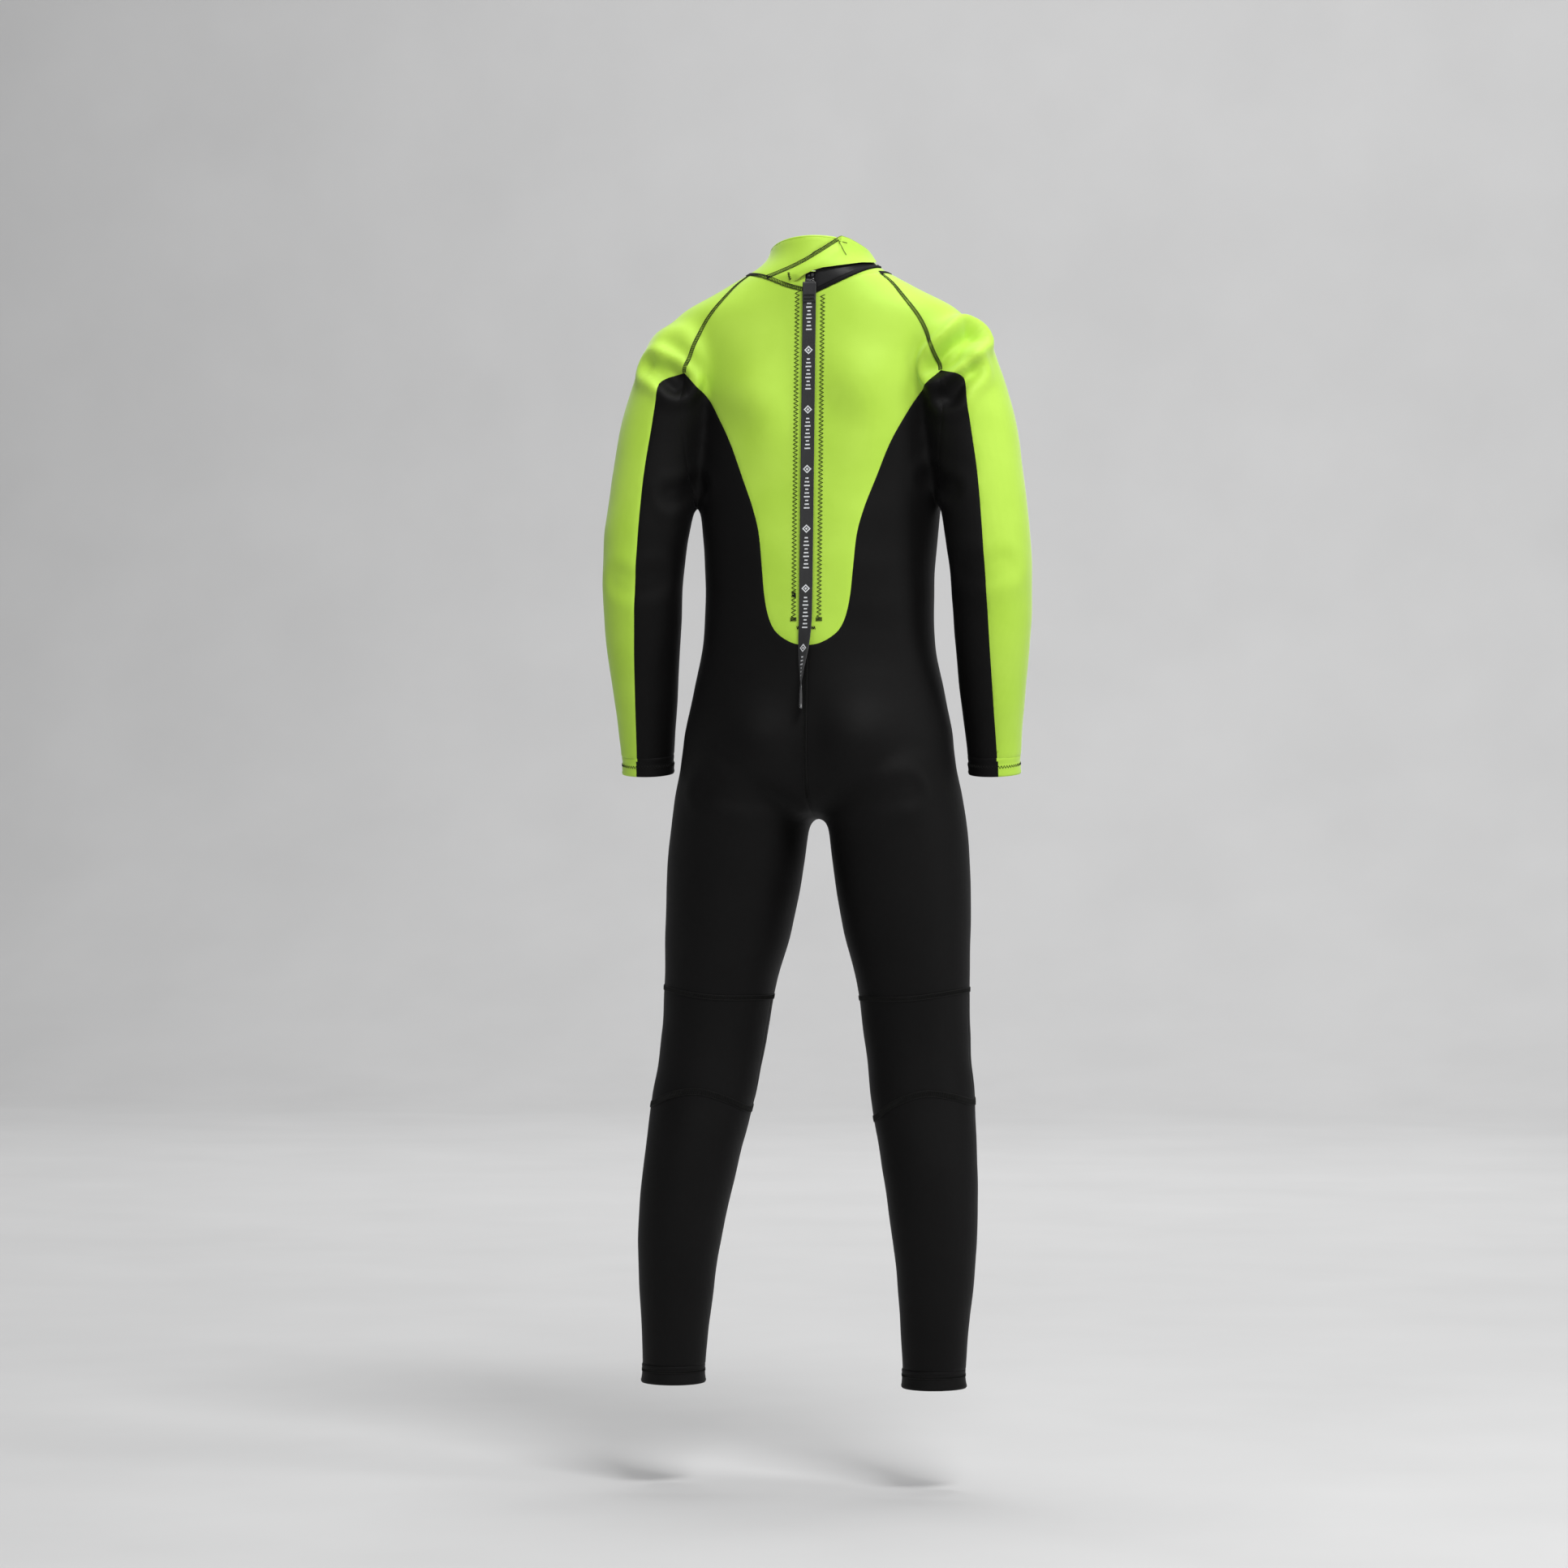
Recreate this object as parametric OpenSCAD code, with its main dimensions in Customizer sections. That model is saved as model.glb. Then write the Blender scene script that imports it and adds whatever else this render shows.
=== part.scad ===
// Full-length youth wetsuit, shown filled out as it is worn, with no wearer in it.
// The wearer faces +Y and +X is the wearer's right. The origin is the middle of the neck opening.
// Heights in the tables below are above the ankle hems; in_frame() moves them to the origin.

/* [Neoprene] */
// Thickness of the neoprene panels
neoprene = 3; // [2:0.5:4]
// How far a line of flatlock stitching stands proud of the panels
stitch_proud = 0.8; // [0.5:0.1:1.2]
// Width of a band of flatlock stitching
stitch_w = 5; // [3:0.5:6]

/* [Stance] */
// How far the ankles stand to the left of the hips
sway = 16; // [0:1:20]
// Lean of the straight centre-back line, neck forward of seat
zip_tilt = 4; // [3:0.5:5]

/* [Collar] */
// Height of the collar's top edge at the back
collar_top = 1237; // [1232:1:1242]
// Fall of the collar's top edge from back to front
collar_fall = 30; // [20:1:36]

/* [Back zip] */
// Length of the zip
zip_len = 380; // [374:1:381]
// Half width of the slot in the back panel
zip_slot = 5.5; // [5:0.5:7]
// Distance from the middle of the zip to each zigzag stitch line
zip_stitch_x = 13.8; // [12:0.2:16]

/* [Leash] */
// Width of the webbing
leash_w = 14.5; // [12:0.5:16]
// Thickness of the webbing
leash_t = 1.4; // [1:0.1:1.6]

/* [Hems] */
// Bore radius of the ankle hems
ankle_r = 30.5; // [29:0.5:31]
// Bore radius of the wrist hems
wrist_r = 24.6; // [24:0.1:25]
// Length of every hem
hem_len = 20; // [16:1:24]

/* [Hidden] */

lime = "yellowgreen";
black = "dimgray";

// Straight centre-back line: the zip lies on it
zip_top_z = 1198;
zip_top_y = -61.2;
function spine_y(z) = zip_top_y - (zip_top_z - z) * tan(zip_tilt);

// Torso sections: height, half width, back at the spine, front, squareness
function on_spine(z, half_w, front, square = 2.3) = [z, half_w, spine_y(z), front, square];
torso_rows = [
    [613, 20, -34, 30, 2],
    [624, 84, -64, 54, 2.1],
    [645, 142, -88, 68, 2.2],
    on_spine(690, 147, 76),
    on_spine(750, 135.5, 80),
    on_spine(800, 126, 82),
    on_spine(850, 124, 81),
    on_spine(910, 127, 85),
    on_spine(970, 133, 94),
    on_spine(1040, 140, 102),
    on_spine(1090, 146, 92, 2.4),
    on_spine(1125, 158, 74, 2.3),
    on_spine(1145, 162, 62, 2.2),
    on_spine(1160, 152, 54, 2.1),
    on_spine(1180, 113, 49, 2),
    on_spine(1192, 91, 50, 2),
    on_spine(1203, 71, 51, 2),
    [1214, 58, -58.5, 53, 2],
    [1226, 53.5, -56, 55, 2],
    [1250, 52, -52, 58, 2]];
// Arm sections: height, middle x, middle y, half width, half depth
arm_rows = [
    [640, 190, 6.5, 28.6, 28.6],
    [684, 190, 0, 29.4, 30],
    [735, 190, -9, 34, 36],
    [800, 191, -19, 40, 42],
    [865, 190.5, -25, 43.5, 45],
    [918, 186, -24, 46, 47],
    [982, 176, -19, 48, 49],
    [1030, 167, -15, 50, 50],
    [1078, 154.5, -12, 50, 50],
    [1104, 146, -11, 49.5, 48],
    [1125, 140, -10, 48, 44],
    [1142, 134, -9, 42, 36],
    [1152, 128, -8, 24, 22]];
// Leg sections: height, middle x, middle y, half width, half depth
leg_rows = [
    [-10, 142.5, -16, 34.2, 34.2],
    [20, 142.5, -16, 34.2, 34.2],
    [73, 142, -17, 37.8, 39],
    [135, 141, -17, 43.3, 45.5],
    [196, 136, -15, 48.6, 52],
    [249, 129, -11, 52, 55],
    [311, 120, -3, 56, 57],
    [363, 113, 2, 57, 60],
    [429, 106, 1, 60.5, 65],
    [495, 97.5, 0, 69, 73],
    [557, 91, -3, 74, 78],
    [604, 86, -6, 75, 82],
    [650, 76, -9, 77.5, 86],
    [700, 62, -10, 74, 78],
    [745, 50, -8, 58, 56]];
// Swellings of the body under the suit: x, height, spread in x, spread in height, amount,
// side (-1 back, 1 front)
swells = [
    [62, 1050, 38, 55, 11, -1],
    [60, 692, 42, 46, 13, -1],
    [56, 1052, 40, 40, 5, 1]];

// Panel outlines on the right half, as [x, height]; all but the neck lines run upwards
armpit = [139, 1091];
neck_corner = [70, 1198];
arm_line = [
    [161, 640], [157.5, 660], [152, 702], [145, 751], [139, 800], [135.5, 865], [133, 925], [132.4, 947],
    [134.4, 970], [139.6, 1020], [142.4, 1050], armpit, [134, 1105], [126, 1127], [115, 1149],
    [97, 1172], [83, 1188], neck_corner];
past_arm = [[90, 1201], [140, 1215], [300, 1215], [300, 640]];
back_v = [
    [0, 796.5], [12, 798], [24, 803.5], [35, 813], [42, 828], [46.5, 850], [49.5, 880], [53, 915],
    [61, 945], [73, 977], [86, 1011], [100, 1039], [116, 1066], armpit];
front_v = [
    [0, 600], [14, 622], [44, 660], [72, 700], [90, 756], [95, 820], [96, 900], [101, 980],
    [114, 1044], armpit];
sleeve_line = [
    [198, 640], [196, 707], [193, 800], [189, 883], [182, 971], [173, 1033], [167, 1072],
    [162, 1084], armpit];
neck_back = [[0, 1176], [25, 1183], [50, 1193], neck_corner, [90, 1201]];
neck_front = [[0, 1143], [20, 1147], [40, 1160], [58, 1180], neck_corner, [90, 1201]];
knee_top = [[0, 414], [50, 418], [110, 420], [175, 429], [260, 440]];
knee_bottom = [[0, 262], [60, 287], [90, 307], [122, 318], [152, 314], [178, 303], [260, 270]];
gusset_side_y = -6;
// Far enough to pass every surface of the suit
reach = 200;

// Cubic interpolation of a table between its rows, by the first column
function slope(rows, k) =
    let (a = max(k - 1, 0), b = min(k + 1, len(rows) - 1)) (rows[b] - rows[a]) / (rows[b][0] - rows[a][0]);
function row_at(rows, z) =
    let (
        i = max([for (k = [0:len(rows) - 2]) if (k == 0 || rows[k][0] <= z) k]),
        h = rows[i + 1][0] - rows[i][0],
        t = (z - rows[i][0]) / h)
    (2 * t ^ 3 - 3 * t ^ 2 + 1) * rows[i] + (t ^ 3 - 2 * t ^ 2 + t) * h * slope(rows, i)
    + (3 * t ^ 2 - 2 * t ^ 3) * rows[i + 1] + (t ^ 3 - t ^ 2) * h * slope(rows, i + 1);
function ramp(a, b, v) = let (t = min(max((v - a) / (b - a), 0), 1)) t * t * (3 - 2 * t);
function power(v, n) = sign(v) * pow(abs(v), n);
crotch_z = 620;
function leg_sway(z) = sway * pow(max(1 - z / crotch_z, 0), 1.2);

// How much the body swells the torso out at x and z, nothing on the centre lines
spine_hollow = 18;
function swell(x, z, side) =
    (1 - exp(-pow(x / spine_hollow, 2))) * side
    * [for (s = swells) s[5] == side
        ? s[4] * exp(-pow((abs(x) - s[0]) / s[2], 2) - pow((z - s[1]) / s[3], 2)) : 0] * [for (s = swells) 1];

// One torso ring, the surface moved in by inset; it also moves down at the shoulders and up at the crotch
function torso_ring(z, inset, n) =
    let (
        r = row_at(torso_rows, z),
        half_w = r[1] - inset,
        mid_y = (r[2] + r[3]) / 2,
        half_d = (r[3] - r[2]) / 2 - inset,
        drop = inset / 2 * ramp(1090, 1140, z) - inset * (1 - ramp(613, 640, z)))
    [for (i = [0:n - 1])
        let (
            c = power(cos(360 * i / n), 2 / r[4]),
            s = power(sin(360 * i / n), 2 / r[4]),
            bulge = swell(half_w * c, z, s < 0 ? -1 : 1) * sqrt(abs(s)))
        [half_w * c, mid_y + half_d * s + bulge, z - drop]];
function limb_ring(rows, side, z, inset, n, shift = 0, drop = 0) =
    let (
        r = row_at(rows, z),
        mid_x = side * r[1] - shift)
    [for (i = [0:n - 1])
        let (a = 360 * i / n)
        [mid_x + (r[3] - inset) * cos(a), r[2] + (r[4] - inset) * sin(a), z - drop]];

module loft(rings) {
    n = len(rings[0]);
    last = (len(rings) - 1) * n;
    polyhedron(
        points = [for (ring = rings) each ring],
        faces = concat(
            [[for (i = [0:n - 1]) i]],
            [for (k = [0:len(rings) - 2]) for (i = [0:n - 1])
                let (a = k * n + i, b = k * n + (i + 1) % n)
                    each [[a, a + n, b + n], [a, b + n, b]]],
            [[for (i = [n - 1:-1:0]) last + i]]),
        convexity = 6);
}

torso_heights = [613, 618, 626, 645, 668, 690, 720, 760, 800, 850, 900, 940, 980, 1020, 1060, 1090,
    1112, 1130, 1145, 1156, 1168, 1180, 1192, 1203, 1208, 1214, 1220, 1226, 1250];
arm_heights = [640, 684, 735, 785, 835, 880, 925, 965, 1005, 1045, 1078, 1104, 1125, 1142, 1152];
leg_heights = [-10, 20, 60, 104, 150, 196, 249, 311, 363, 420, 480, 540, 600, 650, 700, 745];
torso_sides = 36;
arm_sides = 18;
leg_sides = 20;

// The whole suit as a solid, its surface moved in by inset
module form(inset = 0) {
    loft([for (z = torso_heights) torso_ring(z, inset, torso_sides)]);
    for (side = [-1, 1]) {
        loft([for (z = arm_heights)
            limb_ring(arm_rows, side, z, inset, arm_sides, 0, inset * ramp(1100, 1142, z))]);
        loft([for (z = leg_heights)
            limb_ring(leg_rows, side, z, inset, leg_sides, leg_sway(z), inset * ramp(700, 745, z))]);
    }
}
module layer(outside, inside) {
    difference() {
        form(outside);
        form(inside);
    }
}

// Prisms that stand on the X-Z plane and run from y0 to y1
module prism(points, y0 = -reach, y1 = reach) {
    translate([0, y1, 0])
        rotate([90, 0, 0])
            linear_extrude(height = y1 - y0)
                polygon(points);
}
function flip(points) = [for (i = [len(points) - 1:-1:0]) points[i]];
function mirrored(points) = [for (p = points) [-p[0], p[1]]];
function above(points, z) = [for (p = points) if (p[1] > z) p];
function torso_outline(v, neck) =
    let (
        neck_part = [for (p = neck) if (p[0] < neck_corner[0]) p],
        half = concat(v, above(arm_line, armpit[1]), flip(neck_part)))
    concat(half, flip(mirrored(half)));
module on_side(side) {
    if (side > 0) children();
    else mirror([1, 0, 0]) children();
}

module back_area() {
    prism(torso_outline(back_v, neck_back), -reach, 0);
}
module front_area() {
    prism(torso_outline(front_v, neck_front), 0, reach);
}
module arm_area(side) {
    on_side(side) prism(concat(arm_line, past_arm));
}
module sleeve_top_area(side) {
    on_side(side) prism(concat(sleeve_line, above(arm_line, armpit[1]), past_arm));
}
module sleeve_under_area(side) {
    on_side(side) prism(concat([for (p = arm_line) if (p[1] <= armpit[1]) p], flip(sleeve_line)));
}
module neck_area() {
    for (half = [[neck_back, -reach, 0], [neck_front, 0, reach]])
        let (line = concat(flip(mirrored(half[0])), half[0]))
            prism(concat(line, [[140, 1215], [140, 1300], [-140, 1300], [-140, 1215]]), half[1], half[2]);
}
module knee_area(side) {
    on_side(side) prism(concat(knee_bottom, flip(knee_top)));
}
module below_line(side, line) {
    on_side(side) prism(concat(line, [[260, -50], [0, -50]]));
}

// Where the collar's sloping top edge is cut off
module over_collar() {
    translate([0, spine_y(collar_top), collar_top])
        rotate([-atan(collar_fall / 112), 0, 0])
            translate([-150, -60, 0])
                cube([300, 300, 80]);
}
module zip_place() {
    translate([0, zip_top_y, zip_top_z])
        rotate([-zip_tilt, 0, 0])
            children();
}

// The slot that the zip closes, cut through the back panel and the foot of the collar
module zip_slot_cut() {
    zip_place() translate([-zip_slot, -20, -zip_len]) cube([2 * zip_slot, 40, zip_len + 1]);
}

// resize() at zero keeps the size and makes its children one closed mesh
module one_mesh() {
    resize([0, 0, 0]) union() children();
}

wrist_mid = [190, 3.6, 660];
wrist_lean = 8.5;
module wrist_place(side) {
    translate([side * wrist_mid[0], wrist_mid[1], wrist_mid[2]])
        rotate([wrist_lean, 0, 0])
            children();
}
module hem(bore_r) {
    wall = neoprene + 1;
    round_r = wall / 2 - 0.2;
    rotate_extrude($fn = 64)
        difference() {
            translate([bore_r, 0]) square([wall, hem_len]);
            difference() {
                translate([bore_r + wall - round_r, 0]) square([round_r + 1, round_r]);
                translate([bore_r + wall - round_r, round_r]) circle(r = round_r, $fn = 32);
            }
        }
}

module back_panel() {
    color(lime) one_mesh() difference() {
        intersection() {
            layer(0, neoprene);
            back_area();
        }
        zip_slot_cut();
    }
}
module front_panel() {
    color(black) one_mesh() intersection() {
        layer(0, neoprene);
        front_area();
    }
}
module sleeve_top(side) {
    color(lime) one_mesh() difference() {
        intersection() {
            layer(0, neoprene);
            sleeve_top_area(side);
        }
        wrist_place(side) translate([-60, -60, hem_len - 60]) cube([120, 120, 60]);
    }
}
module sleeve_under(side) {
    color(black) one_mesh() difference() {
        intersection() {
            layer(0, neoprene);
            sleeve_under_area(side);
        }
        wrist_place(side) translate([-60, -60, hem_len - 60]) cube([120, 120, 60]);
    }
}
module side_leg_panel(side) {
    color(black) one_mesh() difference() {
        intersection() {
            layer(0, neoprene);
            translate([side > 0 ? 0 : -300, -reach, 380]) cube([300, 2 * reach, 720]);
        }
        back_area();
        front_area();
        arm_area(side);
        below_line(side, knee_top);
    }
}
module knee_half(side, half) {
    mid_y = -3;
    color(black) one_mesh() intersection() {
        layer(0, neoprene);
        knee_area(side);
        translate([-300, half > 0 ? mid_y : mid_y - reach, 200]) cube([600, reach, 300]);
    }
}
module shin_panel(side) {
    color(black) one_mesh() intersection() {
        layer(0, neoprene);
        below_line(side, knee_bottom);
        translate([-300, -reach, hem_len]) cube([600, 2 * reach, 400]);
    }
}
module wrist_hem(side) {
    color(black) wrist_place(side) hem(wrist_r);
}
module ankle_hem(side) {
    color(black) translate([side * leg_rows[1][1] - leg_sway(10), leg_rows[1][2], 0]) hem(ankle_r);
}

// The collar: a lime band all round, but black skin behind the flap on the right of the zip
module gusset_area() {
    translate([0, -reach, 1100]) cube([reach, reach + gusset_side_y, reach]);
}
module collar_band() {
    color(lime) one_mesh() difference() {
        intersection() {
            layer(0, neoprene);
            neck_area();
        }
        over_collar();
        gusset_area();
        zip_slot_cut();
    }
}
module neck_gusset() {
    color(black) one_mesh() difference() {
        intersection() {
            layer(0, neoprene);
            neck_area();
            gusset_area();
        }
        over_collar();
        zip_slot_cut();
    }
}

// Flap round the neck: bottom and top edges by angle from the centre back
flap_bottom = [[2, 1194], [10, 1199], [26, 1204.5], [50, 1208], [74, 1211], [84, 1214]];
flap_top = [[2, 1194], [30, 1235], [45, 1234.5], [65, 1230], [79, 1223], [84, 1215]];
flap_gap = 1.6;
function neck_point(turn, z, out) =
    let (r = row_at(torso_rows, z))
    [(r[1] + out) * sin(turn), (r[2] + r[3]) / 2 - ((r[3] - r[2]) / 2 + out) * cos(turn), z];
// A sheet wrapped round the neck from inner to outer, one pair of columns for each turn
module neck_patch(turns, bottom, top, inner, outer, rows) {
    side_n = rows + 1;
    n = 2 * side_n;
    last = (len(turns) - 1) * n;
    sheets = [for (c = [0:len(turns) - 2]) for (k = [0:rows - 1])
        let (a = c * n + k, b = a + side_n)
            each [[a, a + n, a + n + 1, a + 1], [b, b + 1, b + n + 1, b + n]]];
    edges = [for (c = [0:len(turns) - 2])
        let (a = c * n, b = a + rows)
            each [[a, a + side_n, a + n + side_n, a + n], [b, b + n, b + n + side_n, b + side_n]]];
    ends = [for (k = [0:rows - 1])
        let (b = last + k)
            each [[k, k + 1, k + side_n + 1, k + side_n], [b, b + side_n, b + side_n + 1, b + 1]]];
    polyhedron(
        points = [for (turn = turns) for (out = [inner, outer]) for (k = [0:rows])
            neck_point(turn, lookup(turn, bottom) * (1 - k / rows) + lookup(turn, top) * k / rows, out)],
        faces = [for (f = concat(sheets, edges, ends)) each [[f[0], f[1], f[2]], [f[0], f[2], f[3]]]],
        convexity = 4);
}
module collar_flap() {
    color(lime) neck_patch([8, 14, 20, 26, 32, 40, 48, 56, 64, 72, 78, 83], flap_bottom, flap_top,
        flap_gap, flap_gap + neoprene, 4);
}

// Hook and loop: two thin plates between the flap and the collar, clear of both and of each other
patch_turns = [56, 60, 64, 68, 72];
patch_bottom = [[56, 1212.5], [72, 1214]];
patch_top = [[56, 1225], [72, 1220.5]];
module hook_patch() {
    color(black) neck_patch(patch_turns, patch_bottom, patch_top, 1, 1.3, 4);
}
module loop_patch() {
    color(black) neck_patch(patch_turns, patch_bottom, patch_top, 0.5, 0.8, 4);
}

// Bands of stitching, laid on the panels
function band(points, w) = let (last = len(points) - 1)
    [for (i = [0:last]) let (d = points[min(i + 1, last)] - points[max(i - 1, 0)])
        points[i] + [-d[1], d[0]] / norm(d) * w / 2];
module line_area(points, w, y0 = -reach, y1 = reach) {
    prism(concat(band(points, w), flip(band(points, -w))), y0, y1);
}
module stitch_layer() {
    layer(-stitch_proud, 0);
}

// The collar's seam goes all round but stops short of the zip, and the gusset's bound edge has none.
// Its back and front halves stop short of y = 0, so that they don't meet edge to edge.
seam_back = concat([[10, 1179]], [for (p = neck_back) if (p[0] > 10) p]);
seam_front = concat(flip(mirrored(neck_front)), [for (p = neck_front) if (p[0] > 0) p]);
module collar_seam_area(w) {
    line_area(mirrored(seam_back), w, -reach, -0.2);
    line_area(seam_front, w, 0.2, reach);
}
module collar_seam() {
    color(black) one_mesh() intersection() {
        stitch_layer();
        collar_seam_area(stitch_w);
    }
}
module raglan_seam(side) {
    color(black) one_mesh() difference() {
        intersection() {
            stitch_layer();
            on_side(side) line_area(concat([armpit], above(arm_line, armpit[1])), stitch_w);
        }
        neck_area();
        collar_seam_area(stitch_w + 0.8);
    }
}
module knee_seam(side) {
    color(black) one_mesh() for (line = [knee_top, knee_bottom]) intersection() {
        stitch_layer();
        on_side(side) line_area(line, stitch_w);
    }
}

// The zigzag beside the zip starts under the collar's seam
module zip_stitch(side) {
    zigzag_w = 4;
    bottom = zip_top_z - zip_len + 2;
    top = zip_top_z - 26;
    color(black) one_mesh() intersection() {
        stitch_layer();
        on_side(side) translate([zip_stitch_x - zigzag_w / 2, -100, bottom])
            cube([zigzag_w, 60, top - bottom]);
    }
}
module seat_seam() {
    bottom = 640;
    top = 792;
    color(black) one_mesh() intersection() {
        stitch_layer();
        translate([-stitch_w / 2, -reach, bottom]) cube([stitch_w, 160, top - bottom]);
    }
}

// The zip, drawn in its own place: the slot's middle is x = 0, outwards is -Y, down is -Z
tape_y = neoprene + 1.1;
tape_t = 0.8;
tape_half_w = zip_stitch_x + 2.2;
coil_w = 2.7;
coil_t = 1.8;
coil_y = tape_y - coil_t - 0.05;
underlay_half_w = 18;
underlay_t = 2;
module zip_tape() {
    color(black) zip_place()
        translate([-tape_half_w, tape_y, -zip_len - 6]) cube([2 * tape_half_w, tape_t, zip_len + 4]);
}
module zip_coil(side) {
    color(black) zip_place() on_side(side)
        translate([0.15, coil_y, -zip_len + 6]) cube([coil_w, coil_t, zip_len - 12]);
}
module zip_top_stops() {
    color("silver") zip_place() for (side = [-1, 1]) on_side(side)
        translate([0.6, coil_y, -5.9]) cube([3, coil_t, 3.6]);
}
module zip_bottom_stop() {
    color("silver") zip_place() translate([-3.4, coil_y, -zip_len + 1.5]) cube([6.8, coil_t, 4.4]);
}
// A soft flap behind the zip that keeps it off the wearer's skin
module zip_underlay_flap() {
    color(black) zip_place()
        translate([-underlay_half_w, tape_y + tape_t + 0.1, -zip_len - 8])
            cube([2 * underlay_half_w, underlay_t, zip_len + 8]);
}

// Slider: a channel over the coil, with a bridge for the puller's pin
slider_top = -8;
slider_len = 14;
pin_z = -12;
pin_y = -3.2;
slider_half_w = 5;
ear_x = 3.2;
ear_t = 1.5;
ear_r = 2.2;
pin_r = 0.9;
pin_clear = 0.06;
// A rod along the pin's axis, its middle on the zip's
module pin_rod(r, len) {
    translate([-len / 2, pin_y, pin_z]) rotate([0, 90, 0]) cylinder(r = r, h = len, $fn = 32);
}
module zip_slider() {
    plate_y = -1.2;
    plate_t = 1.7;
    flange_t = 1.7;
    flange_y = plate_y + plate_t;
    bottom = slider_top - slider_len;
    color("dimgray") zip_place() difference() {
        union() {
            translate([-slider_half_w, plate_y, bottom]) cube([2 * slider_half_w, plate_t, slider_len]);
            for (side = [-1, 1]) on_side(side) {
                translate([slider_half_w - flange_t, flange_y, bottom])
                    cube([flange_t, tape_y - 0.2 - flange_y, slider_len]);
                translate([ear_x, pin_y, pin_z - ear_r]) cube([ear_t, plate_y - pin_y, 2 * ear_r]);
                translate([ear_x, pin_y, pin_z]) rotate([0, 90, 0]) cylinder(r = ear_r, h = ear_t, $fn = 32);
            }
        }
        pin_rod(pin_r, 12);
    }
}
module slider_pin() {
    color("silver") zip_place() pin_rod(pin_r, 2 * (ear_x + ear_t));
}
puller_len = 13;
puller_t = 1.4;
puller_w = 5.6;
module zip_puller() {
    slot_w = 3.8;
    color("dimgray") zip_place() difference() {
        union() {
            pin_rod(1.9, puller_w);
            translate([-puller_w / 2, pin_y - puller_t / 2, pin_z - puller_len])
                cube([puller_w, puller_t, puller_len]);
        }
        pin_rod(pin_r + pin_clear, 12);
        translate([-slot_w / 2, pin_y - 3, pin_z - puller_len + 1.6]) cube([slot_w, 6, 3]);
    }
}

// Leash: webbing folded through the puller, then one flat tape that twists edge-on towards its free end
leash_y = pin_y - puller_t / 2 - leash_t / 2 - 0.1;
leash_top = pin_z - 2.5;
module leash_loop() {
    color(black) zip_place()
        translate([-leash_w / 2, leash_y - 1.5 * leash_t - 0.1, leash_top - 20])
            cube([leash_w, leash_t, 21]);
}
// Route of the middle of the tape in the zip's own place: x, y, z, twist
leash_route = [
    [0, 0, 0, 0], [0, 0, -30, 0], [0, 0, -80, 0], [0, 0, -140, 0], [0, 0, -200, 0], [0, 0, -260, 0],
    [0, 0, -310, 0], [0, -0.1, -345, 3], [0, -0.7, -362, 8], [-0.6, -1.6, -378, 18],
    [-1.4, -2.7, -392, 33], [-2.2, -4, -405, 50], [-2.8, -5.1, -417, 66], [-3, -5.8, -428, 79],
    [-3, -6.2, -440, 87], [-3, -6.4, -456, 90]];
function tape_ring(p) =
    let (
        w = leash_w / 2,
        t = leash_t / 2,
        outline = [
            [-w, 0], [-w * 0.9, -t * 0.8], [0, -t], [w * 0.9, -t * 0.8],
            [w, 0], [w * 0.9, t * 0.8], [0, t], [-w * 0.9, t * 0.8]])
    [for (q = outline)
        [p[0] + q[0] * cos(p[3]) + q[1] * sin(p[3]), p[1] - q[0] * sin(p[3]) + q[1] * cos(p[3]), p[2]]];
module leash() {
    color(black) zip_place() translate([0, leash_y, leash_top])
        loft([for (p = flip(leash_route)) tape_ring(p)]);
}

module in_frame() {
    translate([0, 0, -collar_top + collar_fall / 2])
        children();
}

in_frame() back_panel();
in_frame() front_panel();
in_frame() collar_band();
in_frame() neck_gusset();
in_frame() collar_flap();
in_frame() hook_patch();
in_frame() loop_patch();
in_frame() sleeve_top(-1);  // left_sleeve_top
in_frame() sleeve_top(1);  // right_sleeve_top
in_frame() sleeve_under(-1);  // left_sleeve_under
in_frame() sleeve_under(1);  // right_sleeve_under
in_frame() side_leg_panel(-1);  // left_side_leg_panel
in_frame() side_leg_panel(1);  // right_side_leg_panel
in_frame() knee_half(-1, -1);  // left_knee_back_panel
in_frame() knee_half(1, -1);  // right_knee_back_panel
in_frame() knee_half(-1, 1);  // left_knee_pad
in_frame() knee_half(1, 1);  // right_knee_pad
in_frame() shin_panel(-1);  // left_shin_panel
in_frame() shin_panel(1);  // right_shin_panel
in_frame() wrist_hem(-1);  // left_wrist_hem
in_frame() wrist_hem(1);  // right_wrist_hem
in_frame() ankle_hem(-1);  // left_ankle_hem
in_frame() ankle_hem(1);  // right_ankle_hem
in_frame() raglan_seam(-1);  // left_raglan_seam
in_frame() raglan_seam(1);  // right_raglan_seam
in_frame() knee_seam(-1);  // left_knee_seam
in_frame() knee_seam(1);  // right_knee_seam
in_frame() zip_stitch(-1);  // left_zip_stitch
in_frame() zip_stitch(1);  // right_zip_stitch
in_frame() collar_seam();
in_frame() seat_seam();
in_frame() zip_tape();
in_frame() zip_coil(-1);  // zip_coil_left
in_frame() zip_coil(1);  // zip_coil_right
in_frame() zip_top_stops();
in_frame() zip_bottom_stop();
in_frame() zip_underlay_flap();
in_frame() zip_slider();
in_frame() slider_pin();
in_frame() zip_puller();
in_frame() leash_loop();
in_frame() leash();
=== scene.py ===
"""Full-length youth wetsuit, filled out as it is worn, with no wearer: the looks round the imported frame."""

import math

import bpy
import numpy as np
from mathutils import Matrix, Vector, noise


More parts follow.
